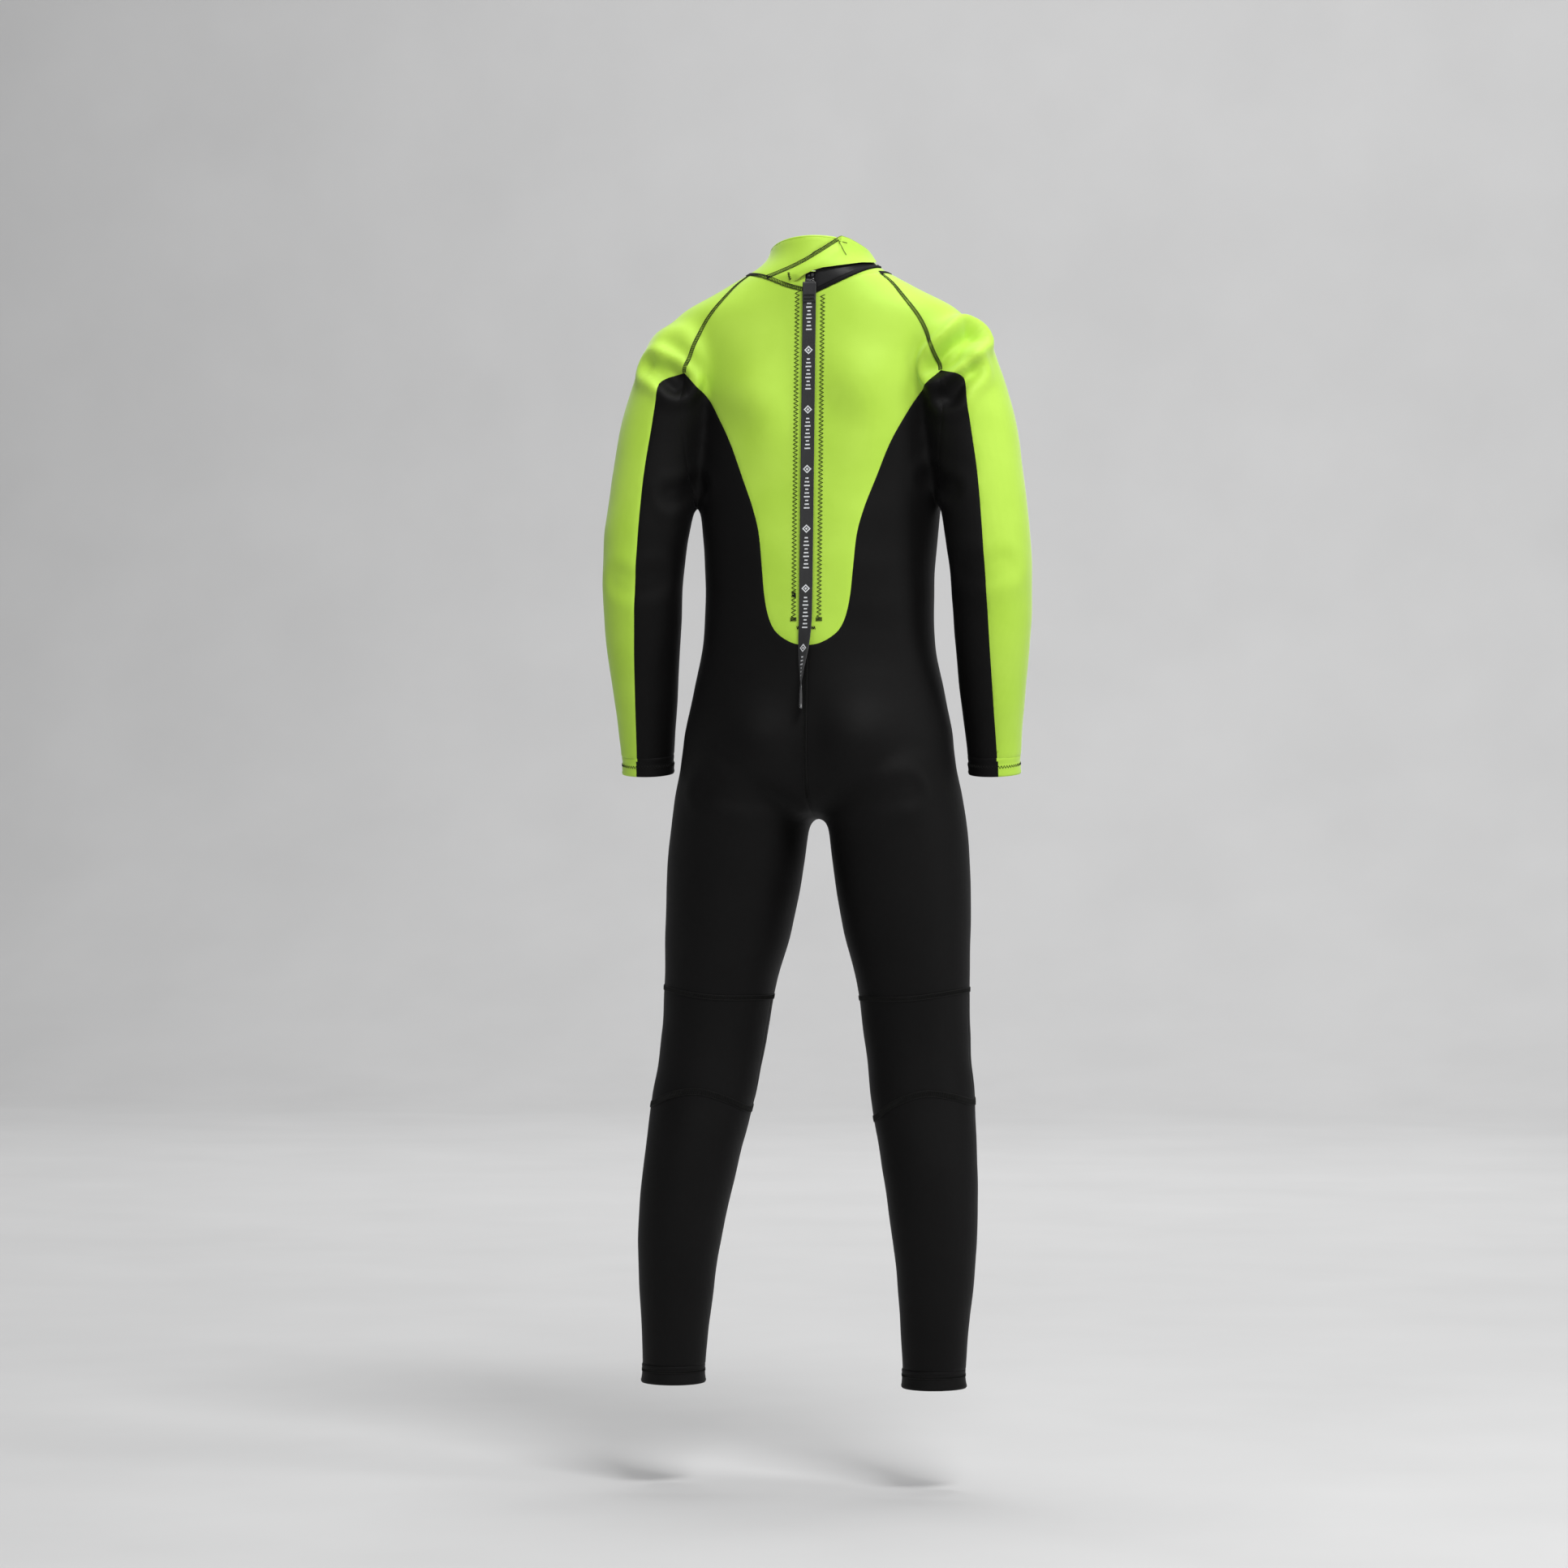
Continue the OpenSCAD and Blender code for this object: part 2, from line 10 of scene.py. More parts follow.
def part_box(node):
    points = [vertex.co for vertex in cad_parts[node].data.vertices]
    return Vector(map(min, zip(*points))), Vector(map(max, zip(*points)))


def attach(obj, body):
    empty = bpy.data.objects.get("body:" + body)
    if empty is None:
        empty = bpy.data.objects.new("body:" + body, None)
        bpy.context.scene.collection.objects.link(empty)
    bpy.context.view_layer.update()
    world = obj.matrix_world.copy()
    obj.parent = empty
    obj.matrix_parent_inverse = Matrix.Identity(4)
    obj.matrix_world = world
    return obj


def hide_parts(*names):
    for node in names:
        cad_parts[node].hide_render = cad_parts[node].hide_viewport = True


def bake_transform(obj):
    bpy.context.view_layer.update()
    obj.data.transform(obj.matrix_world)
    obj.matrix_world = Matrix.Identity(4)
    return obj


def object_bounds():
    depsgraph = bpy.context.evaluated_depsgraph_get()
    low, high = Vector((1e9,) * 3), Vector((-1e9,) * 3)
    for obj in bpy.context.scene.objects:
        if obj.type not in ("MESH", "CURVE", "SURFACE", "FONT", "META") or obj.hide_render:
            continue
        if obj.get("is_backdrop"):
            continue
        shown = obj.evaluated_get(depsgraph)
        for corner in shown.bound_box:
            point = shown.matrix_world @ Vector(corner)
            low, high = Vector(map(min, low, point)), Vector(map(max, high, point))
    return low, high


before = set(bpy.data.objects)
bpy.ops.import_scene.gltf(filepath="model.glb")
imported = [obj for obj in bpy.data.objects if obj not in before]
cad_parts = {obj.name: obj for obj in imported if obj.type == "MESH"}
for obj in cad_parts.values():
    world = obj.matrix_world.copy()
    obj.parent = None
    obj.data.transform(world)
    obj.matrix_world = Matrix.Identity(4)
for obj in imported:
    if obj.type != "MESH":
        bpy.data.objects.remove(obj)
CAD_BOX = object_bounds()

# ---------------------------------------------------------------- sizes
# Lengths are in millimetres and heights are above the ankle hems, as in the part's source, up to put().
MM = 0.001
LIFT = -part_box("left_ankle_hem")[0][2] / MM
SKIN = 3.0
HEM = (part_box("left_ankle_hem")[1][2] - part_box("left_ankle_hem")[0][2]) / MM
ZIP_TILT = math.radians(4)
ZIP_TOP = (0.0, -61.2, 1198.0)
ZIP_LEN = 380.0
ZIP_SLOT = 5.5
ZIP_STITCH = 13.8
COLLAR_TOP = 1237.0
COLLAR_FALL = 30.0 / 112.0
SWAY = 16.0
SWAY_TOP = 620.0
WRIST_MID = (190.0, 3.6, 660.0)
WRIST_LEAN = math.radians(8.5)
ANKLE_MID = (142.5, -16.0)
VOXEL = 3.6
# The wearer's sides: the sign of x, and how the names on that side start
SIDES = ((-1, "left_"), (1, "right_"))


def spine_y(z):
    return ZIP_TOP[1] - (ZIP_TOP[2] - z) * math.tan(ZIP_TILT)


def on_spine(z, half_w, front, square=2.3):
    return (z, half_w, spine_y(z), front, square)


# Torso: height, half width, back at the spine, front, squareness
TORSO = [
    (613, 20, -34, 30, 2),
    (624, 84, -64, 54, 2.1),
    (645, 142, -88, 68, 2.2),
    on_spine(690, 147, 76),
    on_spine(750, 135.5, 80),
    on_spine(800, 126, 82),
    on_spine(850, 124, 81),
    on_spine(910, 127, 85),
    on_spine(970, 133, 94),
    on_spine(1040, 140, 102),
    on_spine(1090, 146, 92, 2.4),
    on_spine(1125, 158, 74, 2.3),
    on_spine(1145, 162, 62, 2.2),
    on_spine(1160, 152, 54, 2.1),
    on_spine(1180, 113, 49, 2),
    on_spine(1192, 91, 50, 2),
    on_spine(1203, 71, 51, 2),
    (1214, 58, -58.5, 53, 2),
    (1226, 53.5, -56, 55, 2),
    (1250, 52, -52, 58, 2),
]
# Arm and leg: height, middle x, middle y, half width, half depth
ARM = [
    (640, 190, 6.5, 28.6, 28.6),
    (684, 190, 0, 29.4, 30),
    (735, 190, -9, 34, 36),
    (800, 191, -19, 40, 42),
    (865, 190.5, -25, 43.5, 45),
    (918, 186, -24, 46, 47),
    (982, 176, -19, 48, 49),
    (1030, 167, -15, 50, 50),
    (1078, 154.5, -12, 50, 50),
    (1104, 146, -11, 49.5, 48),
    (1125, 140, -10, 48, 44),
    (1142, 134, -9, 42, 36),
    (1152, 128, -8, 24, 22),
]
LEG = [
    (-10, 142.5, -16, 34.2, 34.2),
    (20, 142.5, -16, 34.2, 34.2),
    (73, 142, -17, 37.8, 39),
    (135, 141, -17, 43.3, 45.5),
    (196, 136, -15, 48.6, 52),
    (249, 129, -11, 52, 55),
    (311, 120, -3, 56, 57),
    (363, 113, 2, 57, 60),
    (429, 106, 1, 60.5, 65),
    (495, 97.5, 0, 69, 73),
    (557, 91, -3, 74, 78),
    (604, 86, -6, 75, 82),
    (650, 76, -9, 77.5, 86),
    (700, 62, -10, 74, 78),
    (745, 50, -8, 58, 56),
]
# Swellings under the suit: x, height, spread in x, spread in height, amount, side (-1 back, 1 front)
SWELLS = [
    (62, 1050, 38, 55, 11, -1),
    (60, 692, 42, 46, 13, -1),
    (56, 1052, 40, 40, 5, 1),
]
# Panel outlines on the wearer's right, as (x, height)
ARM_LINE = [
    (161, 640), (157.5, 660), (152, 702), (145, 751), (139, 800), (135.5, 865), (133, 925), (132.4, 947),
    (134.4, 970), (139.6, 1020), (142.4, 1050), (139, 1091), (134, 1105), (126, 1127), (115, 1149),
    (97, 1172), (83, 1188), (70, 1198),
]
BACK_V = [
    (0, 796.5), (12, 798), (24, 803.5), (35, 813), (42, 828), (46.5, 850), (49.5, 880), (53, 915),
    (61, 945), (73, 977), (86, 1011), (100, 1039), (116, 1066), (139, 1091),
]
FRONT_V = [
    (0, 600), (14, 622), (44, 660), (72, 700), (90, 756), (95, 820), (96, 900), (101, 980), (114, 1044),
    (139, 1091),
]
SLEEVE_LINE = [
    (198, 640), (196, 707), (193, 800), (189, 883), (182, 971), (173, 1033), (167, 1072), (162, 1084),
    (139, 1091),
]
NECK_BACK = [(0, 1176), (25, 1183), (50, 1193), (70, 1198), (90, 1201)]
NECK_FRONT = [(0, 1143), (20, 1147), (40, 1160), (58, 1180), (70, 1198), (90, 1201)]
KNEE_TOP = [(0, 414), (50, 418), (110, 420), (175, 429), (260, 440)]
KNEE_BOTTOM = [(0, 262), (60, 287), (90, 307), (122, 318), (152, 314), (178, 303), (260, 270)]


# ---------------------------------------------------------------- small tools
def put(points):
    """Points in the part's millimetres, as metres in the row frame."""
    return (np.asarray(points, float) - (0, 0, LIFT)) * MM


def zip_place(points):
    """Points in the zip's own place (outwards is -Y, down is -Z) in the part's millimetres."""
    x, y, z = np.asarray(points, float).reshape(-1, 3).T
    c, s = math.cos(ZIP_TILT), math.sin(ZIP_TILT)
    return np.stack([x + ZIP_TOP[0], y * c + z * s + ZIP_TOP[1], z * c - y * s + ZIP_TOP[2]], 1)


def mesh_object(name, points, faces, materials, slots=None, smooth=True):
    """A mesh object from points already in metres, with a material index for each face."""
    mesh = bpy.data.meshes.new(name)
    mesh.from_pydata([tuple(p) for p in points], [], [tuple(int(i) for i in f) for f in faces])
    for material in materials:
        mesh.materials.append(material)
    if slots is not None:
        mesh.polygons.foreach_set("material_index", np.asarray(slots, np.int32))
    mesh.polygons.foreach_set("use_smooth", np.full(len(faces), smooth, bool))
    mesh.update()
    obj = bpy.data.objects.new(name, mesh)
    bpy.context.scene.collection.objects.link(obj)
    return obj


def settle(obj, body, slot, *nodes):
    """Rides a piece on its body and hides the CAD nodes that it stands for."""
    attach(obj, body)
    if nodes:
        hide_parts(*nodes)
    return obj


def unit(v):
    return v / np.maximum(np.linalg.norm(v, axis=-1, keepdims=True), 1e-9)


def rows_at(rows, z):
    """Cubic interpolation of a table between its rows, by the first column."""
    rows, z = np.array(rows, float), np.atleast_1d(np.asarray(z, float))
    at = rows[:, 0]
    slopes = np.empty_like(rows)
    slopes[1:-1] = (rows[2:] - rows[:-2]) / (at[2:] - at[:-2])[:, None]
    slopes[0] = (rows[1] - rows[0]) / (at[1] - at[0])
    slopes[-1] = (rows[-1] - rows[-2]) / (at[-1] - at[-2])
    i = np.clip(np.searchsorted(at, z, side="right") - 1, 0, len(at) - 2)
    h = (at[i + 1] - at[i])[:, None]
    t = (z[:, None] - at[i][:, None]) / h
    return (
        (2 * t**3 - 3 * t**2 + 1) * rows[i]
        + (t**3 - 2 * t**2 + t) * h * slopes[i]
        + (3 * t**2 - 2 * t**3) * rows[i + 1]
        + (t**3 - t**2) * h * slopes[i + 1]
    )


def ramp(a, b, v):
    t = np.clip((v - a) / (b - a), 0, 1)
    return t * t * (3 - 2 * t)


def rounded(points, steps=8):
    """A smooth curve through the points."""
    p = np.array(points, float)
    p = np.vstack([2 * p[0] - p[1], p, 2 * p[-1] - p[-2]])
    t = np.linspace(0, 1, steps, endpoint=False)[:, None]
    out = []
    for a, b, c, d in zip(p, p[1:], p[2:], p[3:]):
        bend, twist = 2 * a - 5 * b + 4 * c - d, 3 * b - a - 3 * c + d
        out.append(0.5 * (2 * b + (c - a) * t + bend * t**2 + twist * t**3))
    return np.vstack(out + [p[-2][None]])


def flipped(points):
    p = np.array(points, float)[::-1]
    return p * (-1, 1)


def inside_outline(x, z, outline):
    """Signed distance to a closed outline, positive inside."""
    a = np.array(outline, float)
    b = np.roll(a, -1, axis=0)
    p = np.stack([x, z], 1)
    best = np.full(len(p), 1e9)
    odd = np.zeros(len(p), bool)
    for (x0, z0), (x1, z1) in zip(a, b):
        d = np.array([x1 - x0, z1 - z0])
        length = max(d @ d, 1e-9)
        t = np.clip(((p - (x0, z0)) @ d) / length, 0, 1)
        best = np.minimum(best, np.linalg.norm(p - (x0, z0) - t[:, None] * d, axis=1))
        if z0 != z1:
            crossing_x = (x1 - x0) * (p[:, 1] - z0) / (z1 - z0) + x0
            odd ^= ((z0 > p[:, 1]) != (z1 > p[:, 1])) & (p[:, 0] < crossing_x)
    return np.where(odd, best, -best)


def distance_along(p):
    """The distance from the start of a line to each of its points."""
    return np.concatenate([[0], np.cumsum(np.linalg.norm(np.diff(p, axis=0), axis=1))])


def columns_at(at, known, rows):
    """Every column of rows, known at some places, read at others."""
    return np.stack([np.interp(at, known, rows[:, k]) for k in range(rows.shape[1])], -1)


def soften(rows, rounds):
    """Evens a line out in place, with its two ends held."""
    for _ in range(rounds):
        rows[1:-1] = (rows[:-2] + 2 * rows[1:-1] + rows[2:]) / 4


def ring_band(a, b, n):
    """Quads between two rings of n points, numbered from a and from b."""
    return [(a + i, a + (i + 1) % n, b + (i + 1) % n, b + i) for i in range(n)]


def turned_band(a, b, n):
    """Quads between two rings, facing the other way."""
    return [(a + i, b + i, b + (i + 1) % n, a + (i + 1) % n) for i in range(n)]


def bar_faces(count, n):
    """Faces of a bar made of rings of n points: a band between neighbours and a cap at each end."""
    faces = []
    for k in range(count - 1):
        faces += ring_band(k * n, (k + 1) * n, n)
    return faces + [tuple(range(n))[::-1], tuple(range((count - 1) * n, count * n))]


def joined(parts):
    """Points and faces of several parts as one."""
    points, faces, count = [], [], 0
    for p, f in parts:
        points.append(np.asarray(p, float))
        faces += [tuple(i + count for i in face) for face in f]
        count += len(p)
    return np.vstack(points), faces


def tube(points, radius, sides=6):
    """Points and faces of a round tube along a line; a radius may be given for each point."""
    p = np.array(points, float)
    radius = np.broadcast_to(radius, len(p))
    tangent = unit(np.gradient(p, axis=0))
    side = np.cross(tangent[0], (0.3, 0.5, 0.8))
    turn = np.arange(sides) * 2 * math.pi / sides
    rings = []
    for k in range(len(p)):
        side = side - tangent[k] * (side @ tangent[k])
        side = side / np.linalg.norm(side)
        up = np.cross(tangent[k], side)
        rings.append(p[k] + radius[k] * (np.cos(turn)[:, None] * side + np.sin(turn)[:, None] * up))
    return np.vstack(rings), bar_faces(len(p), sides)


# ---------------------------------------------------------------- camera, first
CAMERA_TURN = math.radians(10)
AIM = Vector((-0.040 * math.cos(CAMERA_TURN), 0.0, (648.6 - LIFT) * MM))
CAMERA_DISTANCE = 5.2
FRAME_WIDTH = 1.700


def make_camera():
    data = bpy.data.cameras.new("camera")
    data.sensor_width = 36
    data.lens = 36 * CAMERA_DISTANCE / FRAME_WIDTH
    obj = bpy.data.objects.new("camera", data)
    bpy.context.scene.collection.objects.link(obj)
    toward = Vector((-math.sin(CAMERA_TURN), math.cos(CAMERA_TURN), 0))
    obj.location = AIM - toward * CAMERA_DISTANCE
    obj.rotation_euler = toward.to_track_quat("-Z", "Y").to_euler()
    bpy.context.scene.camera = obj


make_camera()
bpy.context.scene.view_settings.view_transform = "Standard"


# ---------------------------------------------------------------- materials
def material(name):
    m = bpy.data.materials.new(name)
    m.use_nodes = True
    return m, m.node_tree, m.node_tree.nodes["Principled BSDF"]


def node(tree, kind, **values):
    n = tree.nodes.new(kind)
    for key, value in values.items():
        if key in n.inputs:
            n.inputs[key].default_value = value
        else:
            setattr(n, key, value)
    return n


def maths(tree, operation, a, b=None):
    n = tree.nodes.new("ShaderNodeMath")
    n.operation = operation
    for socket, value in zip(n.inputs, (a, b)):
        if value is None:
            continue
        if isinstance(value, (int, float)):
            socket.default_value = value
        else:
            tree.links.new(value, socket)
    return n.outputs[0]


def times(tree, a, b):
    return maths(tree, "MULTIPLY", a, b)


def plus(tree, a, b):
    return maths(tree, "ADD", a, b)


def over(tree, value, limit):
    return maths(tree, "GREATER_THAN", value, limit)


def under(tree, value, limit):
    return maths(tree, "LESS_THAN", value, limit)


def texture_on(tree, kind, **values):
    """A texture laid on the piece's own coordinates."""
    place = node(tree, "ShaderNodeTexCoord")
    texture = node(tree, kind, **values)
    tree.links.new(place.outputs["Object"], texture.inputs["Vector"])
    return texture


def noise_at(tree, scale, detail=3.0):
    return texture_on(tree, "ShaderNodeTexNoise", Scale=scale, Detail=detail).outputs["Fac"]


# The scale at which a wave texture has one band in each metre
WAVES_PER_METRE = 0.314159


def waves_at(tree, pitch, direction, distortion=0.6):
    scale = WAVES_PER_METRE / pitch
    texture = texture_on(tree, "ShaderNodeTexWave", Scale=scale, Distortion=distortion, Detail=1)
    texture.bands_direction = direction
    return texture.outputs["Fac"]


def two_tone(tree, factor, dark, light, low, high):
    r = node(tree, "ShaderNodeValToRGB")
    first, last = r.color_ramp.elements
    first.position, last.position = low, high
    first.color, last.color = (*dark, 1), (*light, 1)
    tree.links.new(factor, r.inputs[0])
    return r.outputs[0]


def paint(tree, shader, factor, dark, light, low=0.3, high=0.7):
    tree.links.new(two_tone(tree, factor, dark, light, low, high), shader.inputs["Base Color"])


def bump_of(tree, shader, height, distance):
    b = node(tree, "ShaderNodeBump", Strength=1.0, Distance=distance)
    tree.links.new(height, b.inputs["Height"])
    tree.links.new(b.outputs[0], shader.inputs["Normal"])


def rough_between(tree, shader, factor, low, high):
    r = node(tree, "ShaderNodeMapRange")
    r.inputs["To Min"].default_value = low
    r.inputs["To Max"].default_value = high
    tree.links.new(factor, r.inputs["Value"])
    tree.links.new(r.outputs[0], shader.inputs["Roughness"])


def jersey(name, dark, light, rough, sheen, sheen_tint, knit=0.0009, specular=0.4):
    """Knitted nylon bonded to neoprene: fine ribs one way, finer courses the other, cloudy colour."""
    m, tree, shader = material(name)
    cloud = noise_at(tree, 14, 4)
    fine = noise_at(tree, 900, 2)
    ribs = waves_at(tree, knit, "X", 1.2)
    courses = waves_at(tree, knit * 0.75, "Z", 0.8)
    knitted = times(tree, plus(tree, ribs, courses), 0.5)
    tone = plus(tree, times(tree, cloud, 0.75), times(tree, knitted, 0.25))
    paint(tree, shader, tone, dark, light, 0.32, 0.68)
    rough_between(tree, shader, times(tree, plus(tree, cloud, fine), 0.5), rough - 0.06, rough + 0.08)
    shader.inputs["Sheen Weight"].default_value = sheen
    shader.inputs["Sheen Roughness"].default_value = 0.45
    shader.inputs["Sheen Tint"].default_value = (*sheen_tint, 1)
    shader.inputs["Specular IOR Level"].default_value = specular
    bump_of(tree, shader, plus(tree, knitted, times(tree, fine, 0.5)), 0.00006)
    return m


def rubber(name, dark, light, rough, cell=0.006, depth=0.00008, specular=0.4):
    """Smooth-skin or moulded rubber, with a fine orange peel."""
    m, tree, shader = material(name)
    cloud = noise_at(tree, 20, 4)
    cells = texture_on(tree, "ShaderNodeTexVoronoi", Scale=1 / cell).outputs["Distance"]
    paint(tree, shader, cloud, dark, light)
    rough_between(tree, shader, cloud, rough - 0.05, rough + 0.08)
    shader.inputs["Specular IOR Level"].default_value = specular
    bump_of(tree, shader, plus(tree, cells, noise_at(tree, 1500, 2)), depth)
    return m


def thread(name, dark, light):
    """Twisted polyester thread."""
    m, tree, shader = material(name)
    ply = waves_at(tree, 0.00045, "DIAGONAL", 1.5)
    paint(tree, shader, ply, dark, light)
    rough_between(tree, shader, ply, 0.5, 0.68)
    shader.inputs["Specular IOR Level"].default_value = 0.2
    bump_of(tree, shader, ply, 0.00006)
    return m


def woven(name, dark, light):
    """Woven tape: warp and weft crossing."""
    m, tree, shader = material(name)
    weave = times(tree, waves_at(tree, 0.0012, "X", 0.3), waves_at(tree, 0.0012, "Z", 0.3))
    paint(tree, shader, weave, dark, light, 0.1, 0.8)
    rough_between(tree, shader, weave, 0.55, 0.75)
    shader.inputs["Sheen Weight"].default_value = 0.2
    bump_of(tree, shader, weave, 0.00009)
    return m


def metal(name, dark, light, rough, metallic=1.0, coat=0.0):
    """Cast or stamped metal with faint wear."""
    m, tree, shader = material(name)
    wear = noise_at(tree, 700, 5)
    paint(tree, shader, wear, dark, light)
    rough_between(tree, shader, wear, rough - 0.06, rough + 0.12)
    shader.inputs["Metallic"].default_value = metallic
    shader.inputs["Coat Weight"].default_value = coat
    bump_of(tree, shader, wear, 0.00002)
    return m


# The printed repeat in millimetres along the tape: an open diamond with a dot, then a ladder of bars
PRINT_PITCH = 64.0
DIAMOND_AT = 8.0
DIAMOND_OUT = 4.6
DIAMOND_IN = 2.9
DOT = 1.5
BARS_FROM = 17.0
BARS_TO = 53.0
BAR_PITCH = 4.0
BAR_SHARE = 0.36
BAR_SHORTEST = 1.7
BAR_GROWTH = 0.7


def diamond_print(tree, repeat, wide):
    off = maths(tree, "ABSOLUTE", maths(tree, "SUBTRACT", repeat, DIAMOND_AT))
    far = plus(tree, off, wide)
    diamond = times(tree, under(tree, far, DIAMOND_OUT), over(tree, far, DIAMOND_IN))
    return maths(tree, "MAXIMUM", diamond, under(tree, far, DOT))


def bars_print(tree, repeat, wide):
    """Bars across the tape in three lengths, one after the other."""
    bars_on = times(tree, over(tree, repeat, BARS_FROM), under(tree, repeat, BARS_TO))
    step = maths(tree, "DIVIDE", maths(tree, "SUBTRACT", repeat, BARS_FROM), BAR_PITCH)
    bar = under(tree, maths(tree, "FRACT", step), BAR_SHARE)
    third = maths(tree, "MODULO", maths(tree, "FLOOR", step), 3.0)
    reach = plus(tree, times(tree, third, BAR_GROWTH), BAR_SHORTEST)
    return times(tree, times(tree, bar, bars_on), under(tree, wide, reach))


def printed_webbing(name):
    """Black polyester webbing with a plain printed repeat: a diamond, then a ladder of bars."""
    m, tree, shader = material(name)
    across = node(tree, "ShaderNodeAttribute", attribute_name="tape_across").outputs["Fac"]
    along = node(tree, "ShaderNodeAttribute", attribute_name="tape_along").outputs["Fac"]
    turns = maths(tree, "DIVIDE", along, PRINT_PITCH * MM)
    repeat = times(tree, maths(tree, "FRACT", turns), PRINT_PITCH)
    wide = maths(tree, "ABSOLUTE", across)
    ink = maths(tree, "MAXIMUM", diamond_print(tree, repeat, wide), bars_print(tree, repeat, wide))
    worn = times(tree, ink, over(tree, noise_at(tree, 2600, 2), 0.36))
    weave = times(tree, waves_at(tree, 0.0011, "X", 0.2), waves_at(tree, 0.0009, "Z", 0.2))
    cloth = two_tone(tree, weave, (0.006, 0.006, 0.007), (0.022, 0.022, 0.024), 0.1, 0.8)
    mix = node(tree, "ShaderNodeMix", data_type="RGBA")
    tree.links.new(worn, mix.inputs["Factor"])
    tree.links.new(cloth, mix.inputs[6])
    mix.inputs[7].default_value = (0.72, 0.74, 0.76, 1)
    tree.links.new(mix.outputs[2], shader.inputs["Base Color"])
    rough_between(tree, shader, weave, 0.42, 0.62)
    shader.inputs["Sheen Weight"].default_value = 0.15
    bump_of(tree, shader, weave, 0.0001)
    return m


GREY_SHEEN = (0.8, 0.8, 0.85)
LIME_SHEEN = (0.95, 1.0, 0.85)
LIME = jersey("lime jersey", (0.42, 0.69, 0.040), (0.49, 0.77, 0.065), 0.62, 0.4, LIME_SHEEN, specular=0.5)
BLACK = jersey("black jersey", (0.0022, 0.0020, 0.0020), (0.0040, 0.0038, 0.0038), 0.6, 0.015, GREY_SHEEN,
               specular=0.13)
LINING = jersey("black lining", (0.012, 0.012, 0.013), (0.022, 0.022, 0.024), 0.7, 0.2, GREY_SHEEN,
                knit=0.0014)
FOAM = rubber("cut neoprene edge", (0.02, 0.02, 0.02), (0.05, 0.048, 0.045), 0.8, cell=0.0006)
FOAM_LIME = rubber("cut lime edge", (0.42, 0.36, 0.10), (0.60, 0.52, 0.16), 0.75, cell=0.0006)
GLIDE = rubber("smooth skin", (0.004, 0.004, 0.0045), (0.008, 0.008, 0.009), 0.5, cell=0.0022, depth=0.00004,
               specular=0.25)
KNEE = rubber("knee rubber", (0.004, 0.004, 0.004), (0.009, 0.009, 0.009), 0.6, cell=0.004, depth=0.0004,
              specular=0.2)
THREAD = thread("black thread", (0.0028, 0.0028, 0.0026), (0.010, 0.010, 0.009))
TAPE = woven("zip tape weave", (0.008, 0.008, 0.009), (0.022, 0.022, 0.024))
COIL = rubber("moulded coil", (0.012, 0.012, 0.013), (0.02, 0.02, 0.021), 0.35, cell=0.001, depth=0.00001)
HOOK = rubber("hook and loop", (0.008, 0.008, 0.008), (0.02, 0.02, 0.02), 0.85, cell=0.0011, depth=0.0003)
STEEL = metal("nickel", (0.55, 0.54, 0.52), (0.72, 0.71, 0.69), 0.28)
COATED = metal("coated metal", (0.012, 0.012, 0.013), (0.04, 0.04, 0.042), 0.3, metallic=0.6, coat=0.5)
WEBBING = printed_webbing("printed webbing")


# ---------------------------------------------------------------- leash, the one cord
LEASH_W = 14.5
LEASH_T = 1.4
LEASH_Y = -4.7
LEASH_TOP = -14.5
# Middle of the tape in the zip's own place, from (0, LEASH_Y, LEASH_TOP): x, y, z, twist in degrees
LEASH_ROUTE = [
    (0, 0, 0, 0), (0, 0, -30, 0), (0, 0, -80, 0), (0, 0, -140, 0), (0, 0, -200, 0), (0, 0, -260, 0),
    (0, 0, -310, 0), (0, -0.1, -345, 3), (0, -0.7, -362, 8), (-0.6, -1.6, -378, 18),
    (-1.4, -2.7, -392, 33), (-2.2, -4, -405, 50), (-2.8, -5.1, -417, 66), (-3, -5.8, -428, 79),
    (-3, -6.2, -440, 87), (-3, -6.4, -456, 90),
]


def float_attribute(obj, name, values):
    layer = obj.data.attributes.new(name, "FLOAT", "POINT")
    layer.data.foreach_set("value", np.asarray(values, np.float32))


def webbing_strip(route, width, thick, step=2.0):
    """Points, faces, across (mm) and along (m) of a flat tape; route rows are x, y, z, twist."""
    r = np.array(route, float)
    far = distance_along(r[:, :3])
    at = np.linspace(0, far[-1], max(int(far[-1] / step), 4))
    p = columns_at(at, far, r)
    soften(p, 3)
    w, t = width / 2, thick / 2
    outline = [(-w, 0), (-0.97 * w, -0.75 * t), (-0.88 * w, -t)]
    outline += [(f * w, -0.82 * t) for f in np.linspace(-0.8, 0.8, 9)]
    outline += [(0.88 * w, -t), (0.97 * w, -0.75 * t)]
    outline = np.array(outline + [(-x, -y) for x, y in outline])
    tangent = unit(np.gradient(p[:, :3], axis=0))
    points = []
    for k in range(len(p)):
        a = math.radians(p[k, 3])
        side = np.array([math.cos(a), -math.sin(a), 0.0])
        side -= tangent[k] * (side @ tangent[k])
        side /= np.linalg.norm(side)
        out = np.cross(tangent[k], side)
        points.append(p[k, :3] + outline[:, :1] * side + outline[:, 1:] * out)
    across = np.tile(outline[:, 0], len(p))
    along = np.repeat(at * MM, len(outline))
    return np.vstack(points), bar_faces(len(p), len(outline)), across, along, p[:, :3]


